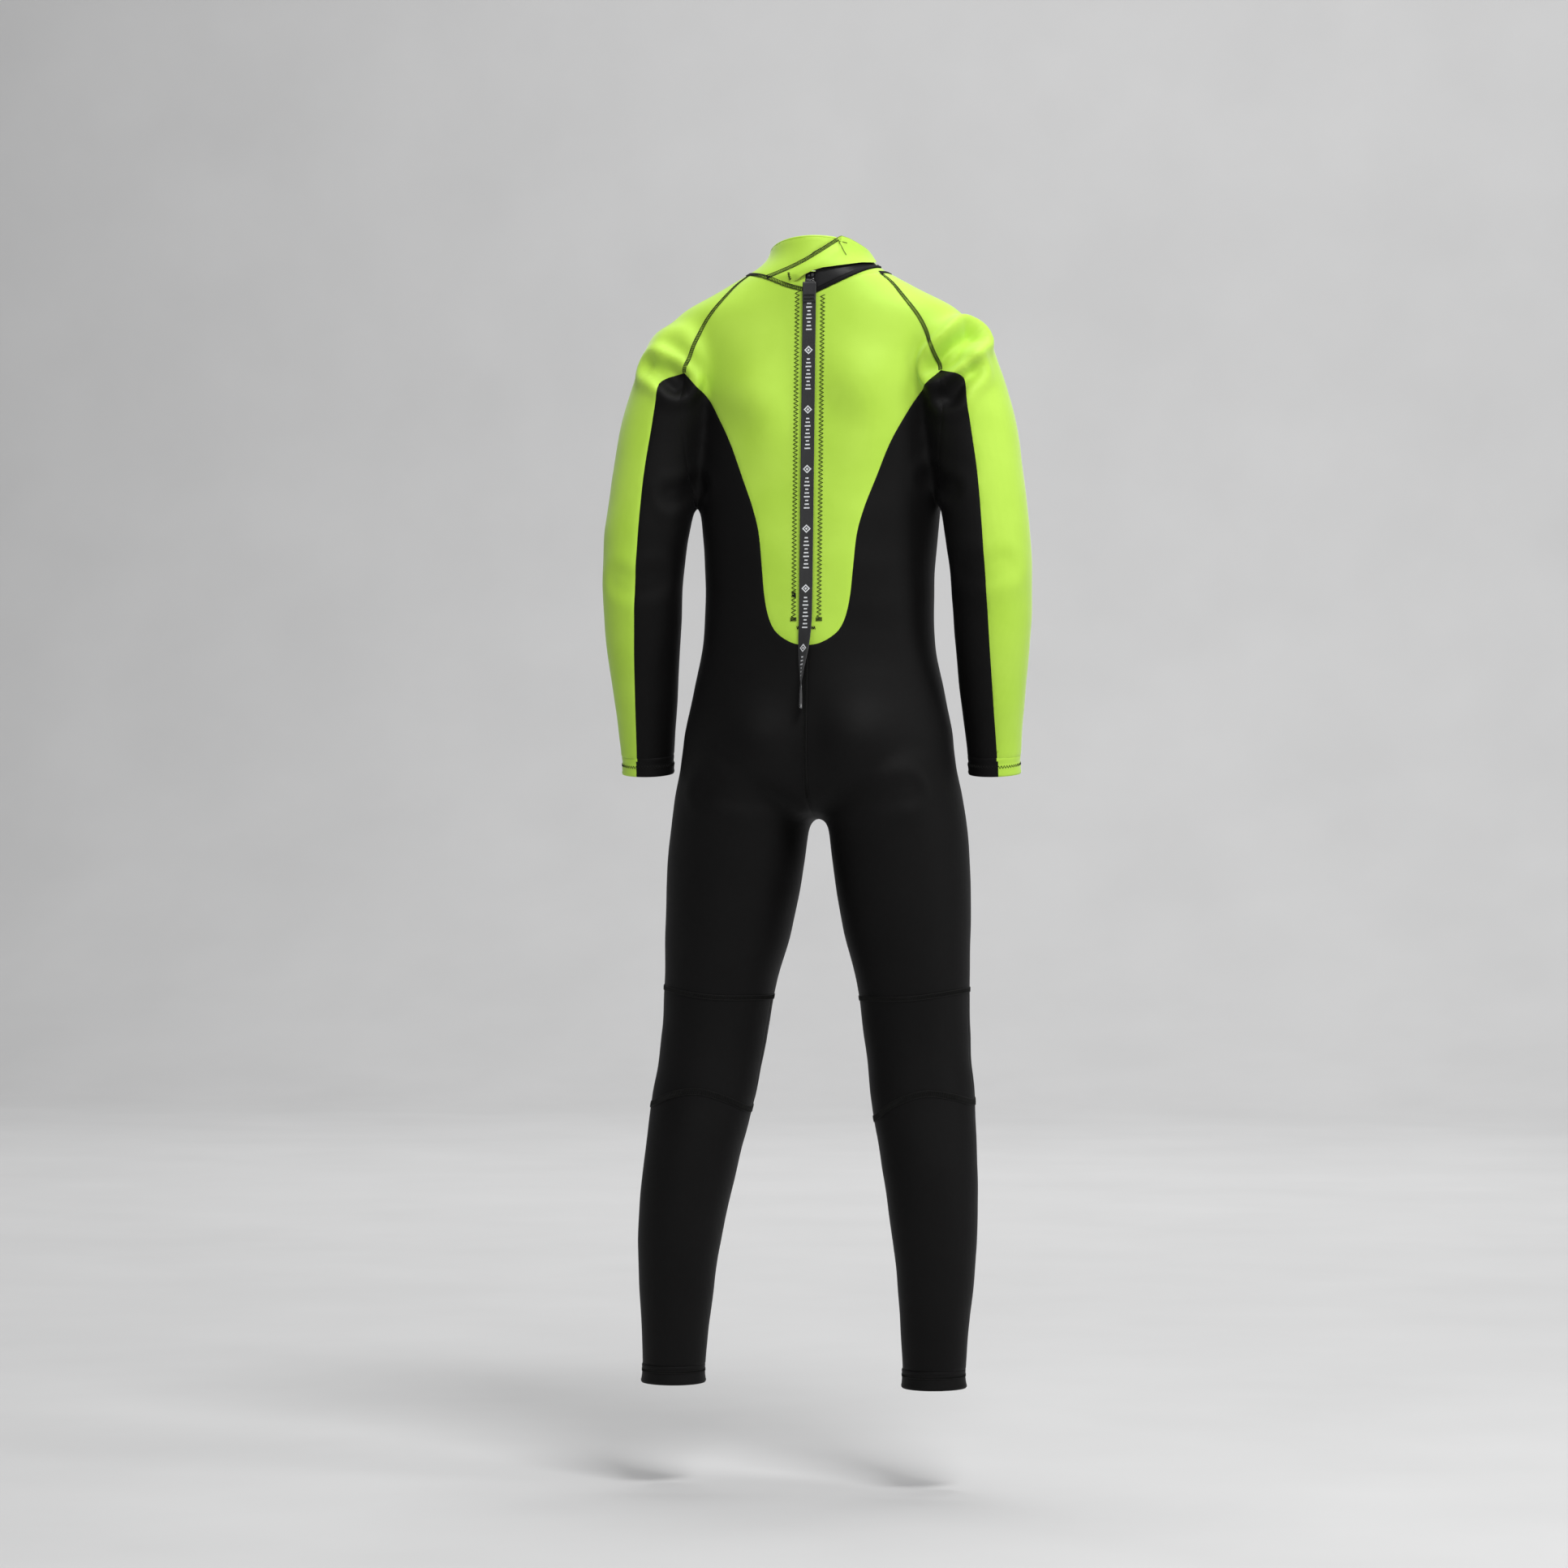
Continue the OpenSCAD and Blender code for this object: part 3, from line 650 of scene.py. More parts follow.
def make_leash():
    start = np.array([0, LEASH_Y, LEASH_TOP])
    route = [(*(start + row[:3]), row[3]) for row in np.array(LEASH_ROUTE, float)]
    points, faces, across, along, line = webbing_strip(route, LEASH_W, LEASH_T)
    obj = mesh_object("printed_zip_leash", put(zip_place(points)), faces, [WEBBING])
    float_attribute(obj, "tape_across", across)
    float_attribute(obj, "tape_along", along)
    settle(obj, "zip_puller_body", "webbing", "leash")
    path = put(zip_place(line))
    tuple(path[0])
    [tuple(q) for q in path]


make_leash()


# ---------------------------------------------------------------- the form under the panels
def swell(x, z, side):
    total = np.zeros_like(x)
    for sx, sz, wide, high, amount, which in SWELLS:
        if which == side:
            total += amount * np.exp(-(((np.abs(x) - sx) / wide) ** 2) - ((z - sz) / high) ** 2)
    return (1 - np.exp(-((x / 18) ** 2))) * side * total


def power(v, n):
    return np.sign(v) * np.abs(v) ** n


def torso_rings(step=6, sides=96):
    z = np.arange(TORSO[0][0], TORSO[-1][0] + 0.1, step)
    turn = np.arange(sides) * 2 * math.pi / sides
    rings = []
    for height, (_, half_w, back, front, square) in zip(z, rows_at(TORSO, z)):
        c, s = power(np.cos(turn), 2 / square), power(np.sin(turn), 2 / square)
        x = half_w * c
        bulge = np.where(s < 0, swell(x, height, -1), swell(x, height, 1)) * np.sqrt(np.abs(s))
        y = (back + front) / 2 + (front - back) / 2 * s + bulge
        rings.append(np.stack([x, y, np.full(sides, height)], 1))
    return np.array(rings)


def sway_at(height, sway):
    """How far the legs lean to the wearer's left at a height."""
    return sway * max(1 - height / SWAY_TOP, 0) ** 1.2


def limb_rings(rows, side, sway, step=6, sides=64):
    z = np.arange(rows[0][0], rows[-1][0] + 0.1, step)
    turn = np.arange(sides) * 2 * math.pi / sides
    rings = []
    for height, (_, mid_x, mid_y, half_w, half_d) in zip(z, rows_at(rows, z)):
        x = side * mid_x - sway_at(height, sway) + half_w * np.cos(turn)
        rings.append(np.stack([x, mid_y + half_d * np.sin(turn), np.full(sides, height)], 1))
    return np.array(rings)


def body_form():
    """Torso, arms and legs fused into one surface of even small squares."""
    lofts = [torso_rings()]
    for side in (-1, 1):
        lofts += [limb_rings(ARM, side, 0), limb_rings(LEG, side, SWAY)]
    points, faces = joined((rings.reshape(-1, 3), bar_faces(*rings.shape[:2])) for rings in lofts)
    obj = mesh_object("form", put(points), faces, [])
    remesh = obj.modifiers.new("fuse", "REMESH")
    remesh.mode = "VOXEL"
    remesh.voxel_size = VOXEL * MM
    fused = obj.evaluated_get(bpy.context.evaluated_depsgraph_get()).to_mesh()
    p = np.zeros(len(fused.vertices) * 3)
    fused.vertices.foreach_get("co", p)
    quads = [tuple(f.vertices) for f in fused.polygons]
    bpy.data.objects.remove(obj, do_unlink=True)
    return p.reshape(-1, 3) / MM + (0, 0, LIFT), quads


def edges_of(quads):
    pairs = np.array([(f[i], f[(i + 1) % len(f)]) for f in quads for i in range(len(f))])
    return np.unique(np.sort(pairs, axis=1), axis=0)


# Pulls of one smoothing round: half way to the neighbours' middle and nearly as far back keeps the size
KEEP_SIZE = (0.5, -0.48)
MELT = (0.6,)


def relax(p, edges, weight, rounds, pulls=KEEP_SIZE):
    """Moves each point towards the middle of its neighbours, once for each pull in every round."""
    count = np.bincount(edges.ravel(), minlength=len(p))[:, None]
    for _ in range(rounds):
        for pull in pulls:
            total = np.zeros_like(p)
            np.add.at(total, edges[:, 0], p[edges[:, 1]])
            np.add.at(total, edges[:, 1], p[edges[:, 0]])
            p = p + pull * weight[:, None] * (total / count - p)
    return p


def near(p, centre, spread):
    """1 at a point on either side of the body, fading out over spread."""
    q = np.stack([np.abs(p[:, 0]), p[:, 1], p[:, 2]], 1)
    return np.exp(-((((q - centre) / spread) ** 2).sum(1)))


def triangles_of(quads):
    out = []
    for f in quads:
        out += [(f[0], f[i], f[i + 1]) for i in range(1, len(f) - 1)]
    return np.array(out)


def normals_of(p, t):
    face = np.cross(p[t[:, 1]] - p[t[:, 0]], p[t[:, 2]] - p[t[:, 0]])
    n = np.zeros_like(p)
    for k in range(3):
        np.add.at(n, t[:, k], face)
    return unit(n)


# Folds in the neoprene: points along the crease, width, depth
FOLDS = [
    ([(132, -66, 1092), (143, -62, 1101), (153, -54, 1110), (162, -44, 1120), (169, -32, 1128)], 7.0, 15.0),
    ([(150, -62, 1064), (158, -60, 1078), (168, -52, 1090)], 7.5, 8.0),
    ([(-146, -62, 1080), (-158, -54, 1089), (-170, -42, 1096)], 7.0, 9.0),
    ([(-136, -60, 1096), (-146, -54, 1108), (-152, -44, 1118)], 8.0, 3.0),
    ([(150, -62, 962), (135, -50, 968), (128, -38, 975)], 7, 2.5),
    ([(-150, -62, 958), (-136, -50, 962), (-128, -38, 968)], 7, 2.5),
    ([(210, -66, 880), (190, -72, 874), (168, -64, 880)], 9, 1.6),
    ([(-210, -66, 868), (-190, -72, 862), (-168, -64, 868)], 9, 1.6),
    ([(20, -62, 640), (60, -86, 634), (110, -84, 640)], 9, 2.2),
    ([(-20, -62, 642), (-60, -86, 636), (-110, -84, 644)], 9, 2.2),
]
# Bulges and hollows that only the finished surface has: x, height, spreads, amount, all on the back
HOLLOWS = [
    (58, 1090, 44, 30, 3.5),
    (50, 1034, 30, 24, -4.0),
    (-74, 1030, 26, 26, -3.5),
    (46, 905, 40, 60, 2.0),
    (-46, 905, 40, 60, 2.0),
    (60, 800, 36, 40, -2.0),
    (-60, 800, 36, 40, -2.0),
]


def fold_in(p, n):
    """Presses the creases in and lifts a soft ridge beside each."""
    for points, width, depth in FOLDS:
        line = rounded(points, 6)
        d = np.full(len(p), 1e9)
        for q in line:
            d = np.minimum(d, np.linalg.norm(p - q, axis=1))
        d = np.maximum(d - 6, 0)
        press = np.exp(-((d / width) ** 2)) - 0.5 * np.exp(-(((d - 2.0 * width) / (width * 1.1)) ** 2))
        p = p - n * (depth * press)[:, None]
    return p


def undulate(p, n):
    """Slow unevenness of stretched neoprene, stronger where limbs bend."""
    amount = 0.45 + 0.5 * near(p, (190, -20, 870), (60, 60, 70)) + 0.7 * near(p, (115, 0, 350), (70, 70, 70))
    amount += 0.6 * near(p, (60, 0, 860), (120, 120, 70))
    wave = np.array([noise.noise(Vector((x * 0.014, y * 0.014, z * 0.026))) for x, y, z in p])
    return p + n * (amount * wave * 1.6)[:, None]


def make_skin():
    """The suit's outer surface: the form with its joins melted, its creases pressed and its edges evened."""
    p, quads = body_form()
    edges = edges_of(quads)
    joins = near(p, (150, -10, 1120), (42, 70, 48)) + near(p, (134, -15, 985), (18, 60, 60))
    joins += near(p, (0, -10, 625), (60, 90, 30)) + near(p, (130, -10, 640), (60, 90, 40))
    p = relax(p, edges, np.clip(joins * 1.6, 0, 1), 26, MELT)
    p = relax(p, edges, np.ones(len(p)), 8)
    t = triangles_of(quads)
    n = normals_of(p, t)
    for x, z, wide, high, amount in HOLLOWS:
        calm = (1 - np.exp(-((p[:, 0] / 18) ** 2))) * np.clip(-n[:, 1], 0, 1)
        press = amount * calm * np.exp(-(((p[:, 0] - x) / wide) ** 2) - ((p[:, 2] - z) / high) ** 2)
        p = p + n * press[:, None]
    p = fold_in(p, n)
    p = undulate(p, n)
    p = relax(p, edges, np.ones(len(p)), 2)
    return p, t, normals_of(p, t)


# ---------------------------------------------------------------- cutting the skin into panels
def rim_of(t):
    """The edges that only one triangle has, each in that triangle's direction."""
    steps = np.vstack([t[:, [0, 1]], t[:, [1, 2]], t[:, [2, 0]]])
    _, first, count = np.unique(np.sort(steps, axis=1), axis=0, return_index=True, return_counts=True)
    return steps[first[count == 1]]


class Skin:
    """A triangle skin cut along exact lines, where each triangle knows its panel."""

    def __init__(self, points, triangles, normals):
        self.p, self.t, self.n = points, triangles, normals
        self.fixed = np.zeros(len(points), bool)
        self.panel = np.full(len(triangles), "body", dtype="<U24")

    def split(self, panel, field, inside, outside, snap=0.9):
        """Cuts one panel where field is 0 and renames its two sides."""
        mine = self.panel == panel
        used = np.unique(self.t[mine])
        f = np.zeros(len(self.p))
        f[used] = field(self.p[used])
        loose = used[(np.abs(f[used]) < snap) & ~self.fixed[used]]
        if len(loose):
            q, n = self.p[loose], self.n[loose]
            h = 0.2
            slope = np.stack([(field(q + d) - field(q - d)) / (2 * h) for d in np.eye(3) * h], 1)
            slope -= n * (slope * n).sum(1)[:, None]
            move = -f[loose][:, None] * slope / np.maximum((slope**2).sum(1), 0.15)[:, None]
            size = np.linalg.norm(move, axis=1)
            ok = size < 1.6 * snap
            self.p[loose[ok]] = q[ok] + move[ok]
            f[loose[ok]] = 0
            self.fixed[loose[ok]] = True
        sign = np.sign(f[self.t])
        cut = mine & (sign.min(1) < 0) & (sign.max(1) > 0)
        made, points, normals, triangles, names = {}, [], [], [], []

        def crossing(i, j):
            key = (min(i, j), max(i, j))
            if key not in made:
                s = f[i] / (f[i] - f[j])
                made[key] = len(self.p) + len(points)
                points.append(self.p[i] + s * (self.p[j] - self.p[i]))
                normals.append(self.n[i] + s * (self.n[j] - self.n[i]))
            return made[key]

        for k in np.flatnonzero(cut):
            tri = [int(v) for v in self.t[k]]
            while not (f[tri[0]] * f[tri[1]] <= 0 and f[tri[0]] * f[tri[2]] <= 0 and f[tri[0]] != 0):
                tri = tri[1:] + tri[:1]
            a, b, c = tri
            if f[b] == 0:
                q = crossing(c, a)
                parts = [(a, b, q), (q, b, c)]
            elif f[c] == 0:
                q = crossing(a, b)
                parts = [(a, q, c), (q, b, c)]
            else:
                q, r = crossing(a, b), crossing(c, a)
                parts = [(a, q, r), (q, b, c), (q, c, r)]
            for part in parts:
                value = sum(f[v] for v in part if v < len(self.p))
                triangles.append(part)
                names.append(inside if value > 0 else outside)
        whole = mine & ~cut
        value = f[self.t[whole]].sum(1)
        middle = self.p[self.t[whole]].mean(1)
        flat = value == 0
        if flat.any():
            value[flat] = field(middle[flat])
        self.panel[whole] = np.where(value > 0, inside, outside)
        if triangles:
            self.t = np.vstack([self.t[~cut], np.array(triangles)])
            self.panel = np.concatenate([self.panel[~cut], np.array(names, dtype="<U24")])
            self.p = np.vstack([self.p, points])
            self.n = unit(np.vstack([self.n, normals]))
            self.fixed = np.concatenate([self.fixed, np.ones(len(points), bool)])

    def sides(self, panel):
        """Renames a panel to left_ and right_ of it, by its triangles' places."""
        mine = np.flatnonzero(self.panel == panel)
        right = self.p[self.t[mine]].mean(1)[:, 0] > 0
        self.panel[mine] = np.where(right, "right_" + panel, "left_" + panel)

    def of(self, *panels):
        return self.t[np.isin(self.panel, panels)]

    def border(self, panel, test):
        """Runs of points along a panel's edge, where test says yes at the middle of a step."""
        steps = rim_of(self.of(panel))
        steps = steps[test((self.p[steps[:, 0]] + self.p[steps[:, 1]]) / 2)]
        after = {int(a): int(b) for a, b in steps}
        starts = [a for a in after if a not in set(after.values())]
        runs = []
        while after:
            a = starts.pop() if starts else next(iter(after))
            run = [a]
            while run[-1] in after:
                run.append(after.pop(run[-1]))
            runs.append(run)
        return sorted((r for r in runs if len(r) > 5), key=lambda r: -len(r))


def mirrored_line(points):
    right = rounded(points)
    return np.vstack([flipped(right)[:-1], right])


def neck_outline(line):
    return np.vstack([mirrored_line(line), [(200, 1230), (200, 1400), (-200, 1400), (-200, 1230)]])


def panel_v_outline(line):
    return np.vstack([mirrored_line(line), [(220, 1110), (0, 1500), (-220, 1110)]])


def leg_outline(line):
    """Everything below a line round the leg that starts level at the inside."""
    return np.vstack([[(-400, line[0][1])], rounded(line), [(260, -300), (-400, -300)]])


def outline_field(outline, both_sides):
    """Signed distance to an outline seen from behind; both_sides lays it on left and right alike."""
    def field(p):
        x = np.abs(p[:, 0]) if both_sides else p[:, 0]
        return inside_outline(x, p[:, 2], outline)
    return field


ARM_CLOSE = [(90, 1201), (140, 1215), (300, 1215), (300, 640)]
SLEEVE_CLOSE = [(60, 1091), (60, 1300), (300, 1300), (300, 560)]
arm_field = outline_field(np.vstack([rounded(ARM_LINE), ARM_CLOSE]), True)
sleeve_field = outline_field(np.vstack([rounded(SLEEVE_LINE), SLEEVE_CLOSE]), True)
back_field = outline_field(panel_v_outline(BACK_V), False)
front_field = outline_field(panel_v_outline(FRONT_V), False)
knee_top_field = outline_field(leg_outline(KNEE_TOP), True)
knee_bottom_field = outline_field(leg_outline(KNEE_BOTTOM), True)
neck_back_field = outline_field(neck_outline(NECK_BACK), False)
neck_front_field = outline_field(neck_outline(NECK_FRONT), False)
ZIP_BOTTOM = ZIP_TOP[2] - ZIP_LEN * math.cos(ZIP_TILT)


def neck_field(p):
    return np.where(p[:, 1] < 0, neck_back_field(p), neck_front_field(p))


def wrist_field(p):
    """Distance above the wrist hem, along the leaning arm."""
    y, z = p[:, 1] - WRIST_MID[1], p[:, 2] - WRIST_MID[2]
    return z * math.cos(WRIST_LEAN) - y * math.sin(WRIST_LEAN) - HEM


def collar_field(p):
    over = p[:, 2] - COLLAR_TOP + COLLAR_FALL * (p[:, 1] - spine_y(COLLAR_TOP))
    return -over / math.hypot(1, COLLAR_FALL)


def slot_field(p):
    along = np.minimum(p[:, 2] - ZIP_BOTTOM, ZIP_TOP[2] + 1 - p[:, 2])
    return np.minimum(np.minimum(ZIP_SLOT - np.abs(p[:, 0]), along), -p[:, 1])


# Two lines that climb to the wearer's right, as a start and a rise for each step across. The last number
# of each turns a height above or below the line into a distance from it.
FLAP_ROOT_Z = 1217.0
FLAP_ROOT_RISE = 0.585
FLAP_ROOT_SQUARE = 0.863
GUSSET_FROM = (8.0, 1178.2)
GUSSET_RISE = 0.489
GUSSET_LENGTH = 1.113


def flap_root_z(x):
    return FLAP_ROOT_Z + x * FLAP_ROOT_RISE


def gusset_edge(p):
    """The gusset's lower edge climbs from the collar seam to the flap's tip."""
    return ((p[:, 2] - GUSSET_FROM[1]) - GUSSET_RISE * (p[:, 0] - GUSSET_FROM[0])) / GUSSET_LENGTH


def gusset_field(p):
    below = (flap_root_z(p[:, 0]) - p[:, 2]) * FLAP_ROOT_SQUARE
    return np.minimum(np.minimum(p[:, 0], -6 - p[:, 1]), np.minimum(below, gusset_edge(p)))


def cut_panels(skin):
    skin.split("body", lambda p: np.where(p[:, 2] > 1120, neck_field(p), -50), "collar", "body")
    skin.split("body", arm_field, "arm", "body")
    skin.split("arm", wrist_field, "arm", "waste")
    skin.split("body", lambda p: p[:, 2] - HEM, "body", "waste")
    skin.split("collar", collar_field, "collar", "waste")
    skin.split("arm", sleeve_field, "sleeve_top", "sleeve_under")
    skin.split("body", knee_top_field, "leg", "body")
    skin.split("leg", knee_bottom_field, "shin_panel", "knee")
    skin.split("knee", lambda p: p[:, 1] + 3, "knee_pad", "knee_back_panel")
    skin.split("body", lambda p: p[:, 1], "fore", "rear")
    skin.split("rear", back_field, "back_panel", "side")
    skin.split("fore", front_field, "front_panel", "side")
    skin.split("side", lambda p: p[:, 0], "right_side_leg_panel", "left_side_leg_panel")
    skin.split("back_panel", slot_field, "waste", "back_panel")
    skin.split("collar", gusset_field, "neck_gusset", "collar_band")
    for panel in ("collar_band", "neck_gusset"):
        skin.split(panel, slot_field, "waste", panel)
    for panel in ("sleeve_top", "sleeve_under", "shin_panel", "knee_pad", "knee_back_panel"):
        skin.sides(panel)


PINCH = 0.5


def panel_piece(name, panel, look, slot):
    """One neoprene panel: jersey outside, lining inside, foam at its edges, pinched in where it is sewn."""
    t = skin.of(panel)
    used, local = np.unique(t, return_inverse=True)
    t = local.reshape(-1, 3)
    p, n = skin.p[used].copy(), skin.n[used]
    rim = rim_of(t)
    edge = np.unique(rim)
    p[edge] -= n[edge] * PINCH
    inner = p - n * SKIN
    k, r = len(p), len(rim)
    points = np.vstack([p, inner, p[rim[:, 0]], p[rim[:, 1]], inner[rim[:, 0]], inner[rim[:, 1]]])
    walls = [(2 * k + i, 2 * k + 2 * r + i, 2 * k + 3 * r + i, 2 * k + r + i) for i in range(r)]
    faces = [tuple(f) for f in t] + [tuple(f[::-1] + k) for f in t] + walls
    slots = [0] * len(t) + [1] * len(t) + [2] * r
    obj = mesh_object(name, put(points), faces, [look, LINING, FOAM], slots)
    settle(obj, "suit", slot, panel)


# Piece, the CAD panel that it stands for, outside look, finish
MIDDLE_PANELS = [
    ("back_panel_jersey", "back_panel", LIME, "lime_neoprene"),
    ("front_panel_skin", "front_panel", GLIDE, "smooth_skin"),
    ("collar_band_jersey", "collar_band", LIME, "lime_neoprene"),
    ("neck_gusset_skin", "neck_gusset", GLIDE, "smooth_skin"),
]
SIDE_PANELS = [
    ("sleeve_top_jersey", "sleeve_top", LIME, "lime_neoprene"),
    ("sleeve_under_jersey", "sleeve_under", BLACK, "black_neoprene"),
    ("side_leg_jersey", "side_leg_panel", BLACK, "black_neoprene"),
    ("knee_back_jersey", "knee_back_panel", BLACK, "black_neoprene"),
    ("knee_pad_rubber", "knee_pad", KNEE, "knee_rubber"),
    ("shin_jersey", "shin_panel", BLACK, "black_neoprene"),
]


def make_panels():
    for name, panel, look, slot in MIDDLE_PANELS:
        panel_piece(name, panel, look, slot)
    for _, side in SIDES:
        for name, panel, look, slot in SIDE_PANELS:
            panel_piece(side + name, side + panel, look, slot)


skin = Skin(*make_skin())
cut_panels(skin)
make_panels()


# ---------------------------------------------------------------- stitching
class Seam:
    """A line on the skin with its own frame: u runs along it, v across it, w out of it."""

    def __init__(self, points, normals, closed=False, gap=1.5):
        p, n = np.array(points, float), np.array(normals, float)
        if closed:
            p, n = np.vstack([p, p[:1]]), np.vstack([n, n[:1]])
        far = distance_along(p)
        self.u = np.linspace(0, far[-1], max(int(far[-1] / gap), 8))
        self.p, self.n = columns_at(self.u, far, p), columns_at(self.u, far, n)
        soften(self.p, 6)
        soften(self.n, 6)
        self.n = unit(self.n)
        self.side = unit(np.cross(unit(np.gradient(self.p, axis=0)), self.n))
        self.length = far[-1]

    def at(self, u, v, w):
        p, n, side = (columns_at(u, self.u, rows) for rows in (self.p, self.n, self.side))
        return p + side * np.asarray(v)[..., None] + n * np.asarray(w)[..., None]


def threads(name, body, paths, radius, *nodes):
    """One piece of thread made of many short runs, each a tube through its points."""
    points, faces = joined(tube(path, radius, sides=5) for path in paths)
    settle(mesh_object(name, put(points), faces, [THREAD]), body, "stitching", *nodes)


# How high a stitch stands along its run, as shares of its lift
RAIL_RISE = np.array([-0.1, 0.5, 0.75, 0.5, -0.1])
RUNG_RISE = np.array([0.3, 0.75, 0.8, 0.75, 0.3])


def ladder(seam, half_w=2.1, pitch=3.0, lift=0.45):
    """Flatlock: a needle line on each side of the joint, with rungs of cover thread between them."""
    paths = []
    for u in np.arange(0.5, seam.length - pitch, pitch):
        for v in (-half_w, half_w):
            run = np.array([0, 0.15, 0.5, 0.85, 1.0]) * (pitch + 0.2)
            paths.append(seam.at(u + run, np.full(5, v), RAIL_RISE * lift + 0.25))
        for lean in (0.0, 0.5 * pitch):
            run = u + lean + np.linspace(0, 0.4 * pitch, 5)
            paths.append(seam.at(run, np.linspace(-half_w, half_w, 5), RUNG_RISE * lift + 0.2))
    return paths


def zigzag(seam, half_w, pitch, lift=0.4):
    """One thread that goes from side to side of the seam and dips at each needle hole."""
    u = np.arange(0.0, seam.length, pitch / 2)
    v = np.where(np.arange(len(u)) % 2 == 0, -half_w, half_w)
    fine = np.arange(0, len(u) - 1 + 1e-6, 0.25)
    uu, vv = np.interp(fine, np.arange(len(u)), u), np.interp(fine, np.arange(len(u)), v)
    ww = lift * np.abs(np.sin(math.pi * fine)) + 0.15
    return [seam.at(uu, vv, ww)]


def seam_on(panel, test, closed=False):
    """A seam along the longest run of a panel's edge that passes the test."""
    run = skin.border(panel, test)[0]
    return Seam(skin.p[run], skin.n[run], closed)


def side_test(side, *more):
    def test(q):
        good = q[:, 0] * side > 0
        for part in more:
            good &= part(q)
        return good
    return test


def near_line(field, limit=1.2):
    return lambda q: np.abs(field(q)) < limit


def higher(z):
    return lambda q: q[:, 2] > z


def seat_line(q):
    return (np.abs(q[:, 0]) < 0.8) & (q[:, 1] < -20) & (q[:, 2] > 632)


def collar_back_line(q):
    return (q[:, 1] < 0) & (q[:, 0] < -6) & (np.abs(neck_field(q)) < 1.2)


def collar_front_line(q):
    return (q[:, 1] > 0.5) & (np.abs(neck_field(q)) < 1.2)


def make_flatlock():
    for side, name in SIDES:
        test = side_test(side, near_line(arm_field), higher(1088))
        raglan = ladder(seam_on("back_panel", test), 1.7) + ladder(seam_on("front_panel", test), 1.7)
        threads(name + "raglan_threads", "suit", raglan, 0.32, name + "raglan_seam")
        top = seam_on(name + "side_leg_panel", near_line(knee_top_field), True)
        low = seam_on(name + "shin_panel", near_line(knee_bottom_field), True)
        threads(name + "knee_threads", "suit", ladder(top, 2.3) + ladder(low, 3.2), 0.42, name + "knee_seam")
    collar = ladder(seam_on("collar_band", collar_back_line), 1.9)
    collar += ladder(seam_on("collar_band", collar_front_line), 1.9)
    threads("collar_threads", "suit", collar, 0.38, "collar_seam")
    seat = seam_on("right_side_leg_panel", seat_line)
    threads("seat_threads", "suit", ladder(seat, 1.8, 2.8, 0.35), 0.36, "seat_seam")


def surface_seam(start, end):
    """A straight seam between two points given as (x, height) on the back, laid on the skin nearest to it."""
    back = np.flatnonzero(skin.n[:, 1] < -0.2)
    start, end = np.array(start, float), np.array(end, float)
    p, n = [], []
    for x, z in np.linspace(start, end, int(np.linalg.norm(end - start) / 4) + 2):
        d = (skin.p[back, 0] - x) ** 2 + (skin.p[back, 2] - z) ** 2
        near_by = back[np.argsort(d)[:4]]
        weight = 1 / (np.sort(d)[:4] + 0.3)
        weight /= weight.sum()
        p.append((x, (skin.p[near_by, 1] * weight).sum(), z))
        n.append((skin.n[near_by] * weight[:, None]).sum(0))
    return Seam(p, unit(np.array(n)))


def loose_ends(seam):
    """The tangle of thread left near the foot of the left row."""
    rng = np.random.default_rng(7)
    paths = []
    for _ in range(6):
        u = seam.length - 30 + rng.uniform(-3, 3, 5)
        paths.append(seam.at(u, rng.uniform(-2.5, 2.5, 5), rng.uniform(0.3, 1.2, 5)))
    return paths


def make_zip_stitches():
    for side, name in SIDES:
        x = side * ZIP_STITCH
        seam = surface_seam((x, 1176 if side < 0 else 1172), (x, ZIP_BOTTOM + 2))
        paths = zigzag(seam, 2.6, 4.4)
        for k in range(4):
            u = seam.length - 1.5 - 1.1 * k
            paths.append(seam.at(np.full(5, u), np.linspace(-3.4, 3.4, 5), np.full(5, 0.55)))
        if side < 0:
            paths += loose_ends(seam)
        threads(name + "zip_zigzag", "suit", paths, 0.3, name + "zip_stitch")
    foot = surface_seam((-10, ZIP_BOTTOM - 4), (10, ZIP_BOTTOM - 4))
    threads("zip_foot_tack", "suit", zigzag(foot, 1.8, 1.6), 0.34)


# ---------------------------------------------------------------- hems
def lathe(profile, sides=112):
    """A closed ring from a closed (radius, height) outline."""
    turn = np.arange(sides) * 2 * math.pi / sides
    rings = [np.stack([r * np.cos(turn), r * np.sin(turn), np.full(sides, z)], 1) for r, z in profile]
    faces = []
    for k in range(len(profile)):
        faces += ring_band(k * sides, (k + 1) % len(profile) * sides, sides)
    return np.vstack(rings), faces


def hem_profile(bore, flare):
    """The rim of a folded hem: flared, rolled and a little pinched where it is stitched."""
    r = bore + SKIN
    return [
        (bore, HEM + 0.5), (bore, 10), (bore + 0.1, 3), (bore + 0.7, 0.9), (bore + 1.9, 0.0),
        (r + flare * 0.5, 0.1), (r + flare, 1.2), (r + flare + 0.2, 2.6), (r + flare - 0.3, 4.6),
        (r + 0.9, 8), (r + 0.65, 11.5),
        (r + 0.35, 13.5), (r + 0.35, 14.5), (r + 0.8, 17), (r + 0.9, HEM - 0.4), (r + 0.6, HEM + 0.3),
    ]


def hem_place(points, middle, lean):
    c, s = math.cos(lean), math.sin(lean)
    x, y, z = np.asarray(points, float).T
    return np.stack([x + middle[0], y * c - z * s + middle[1], y * s + z * c + middle[2]], 1)


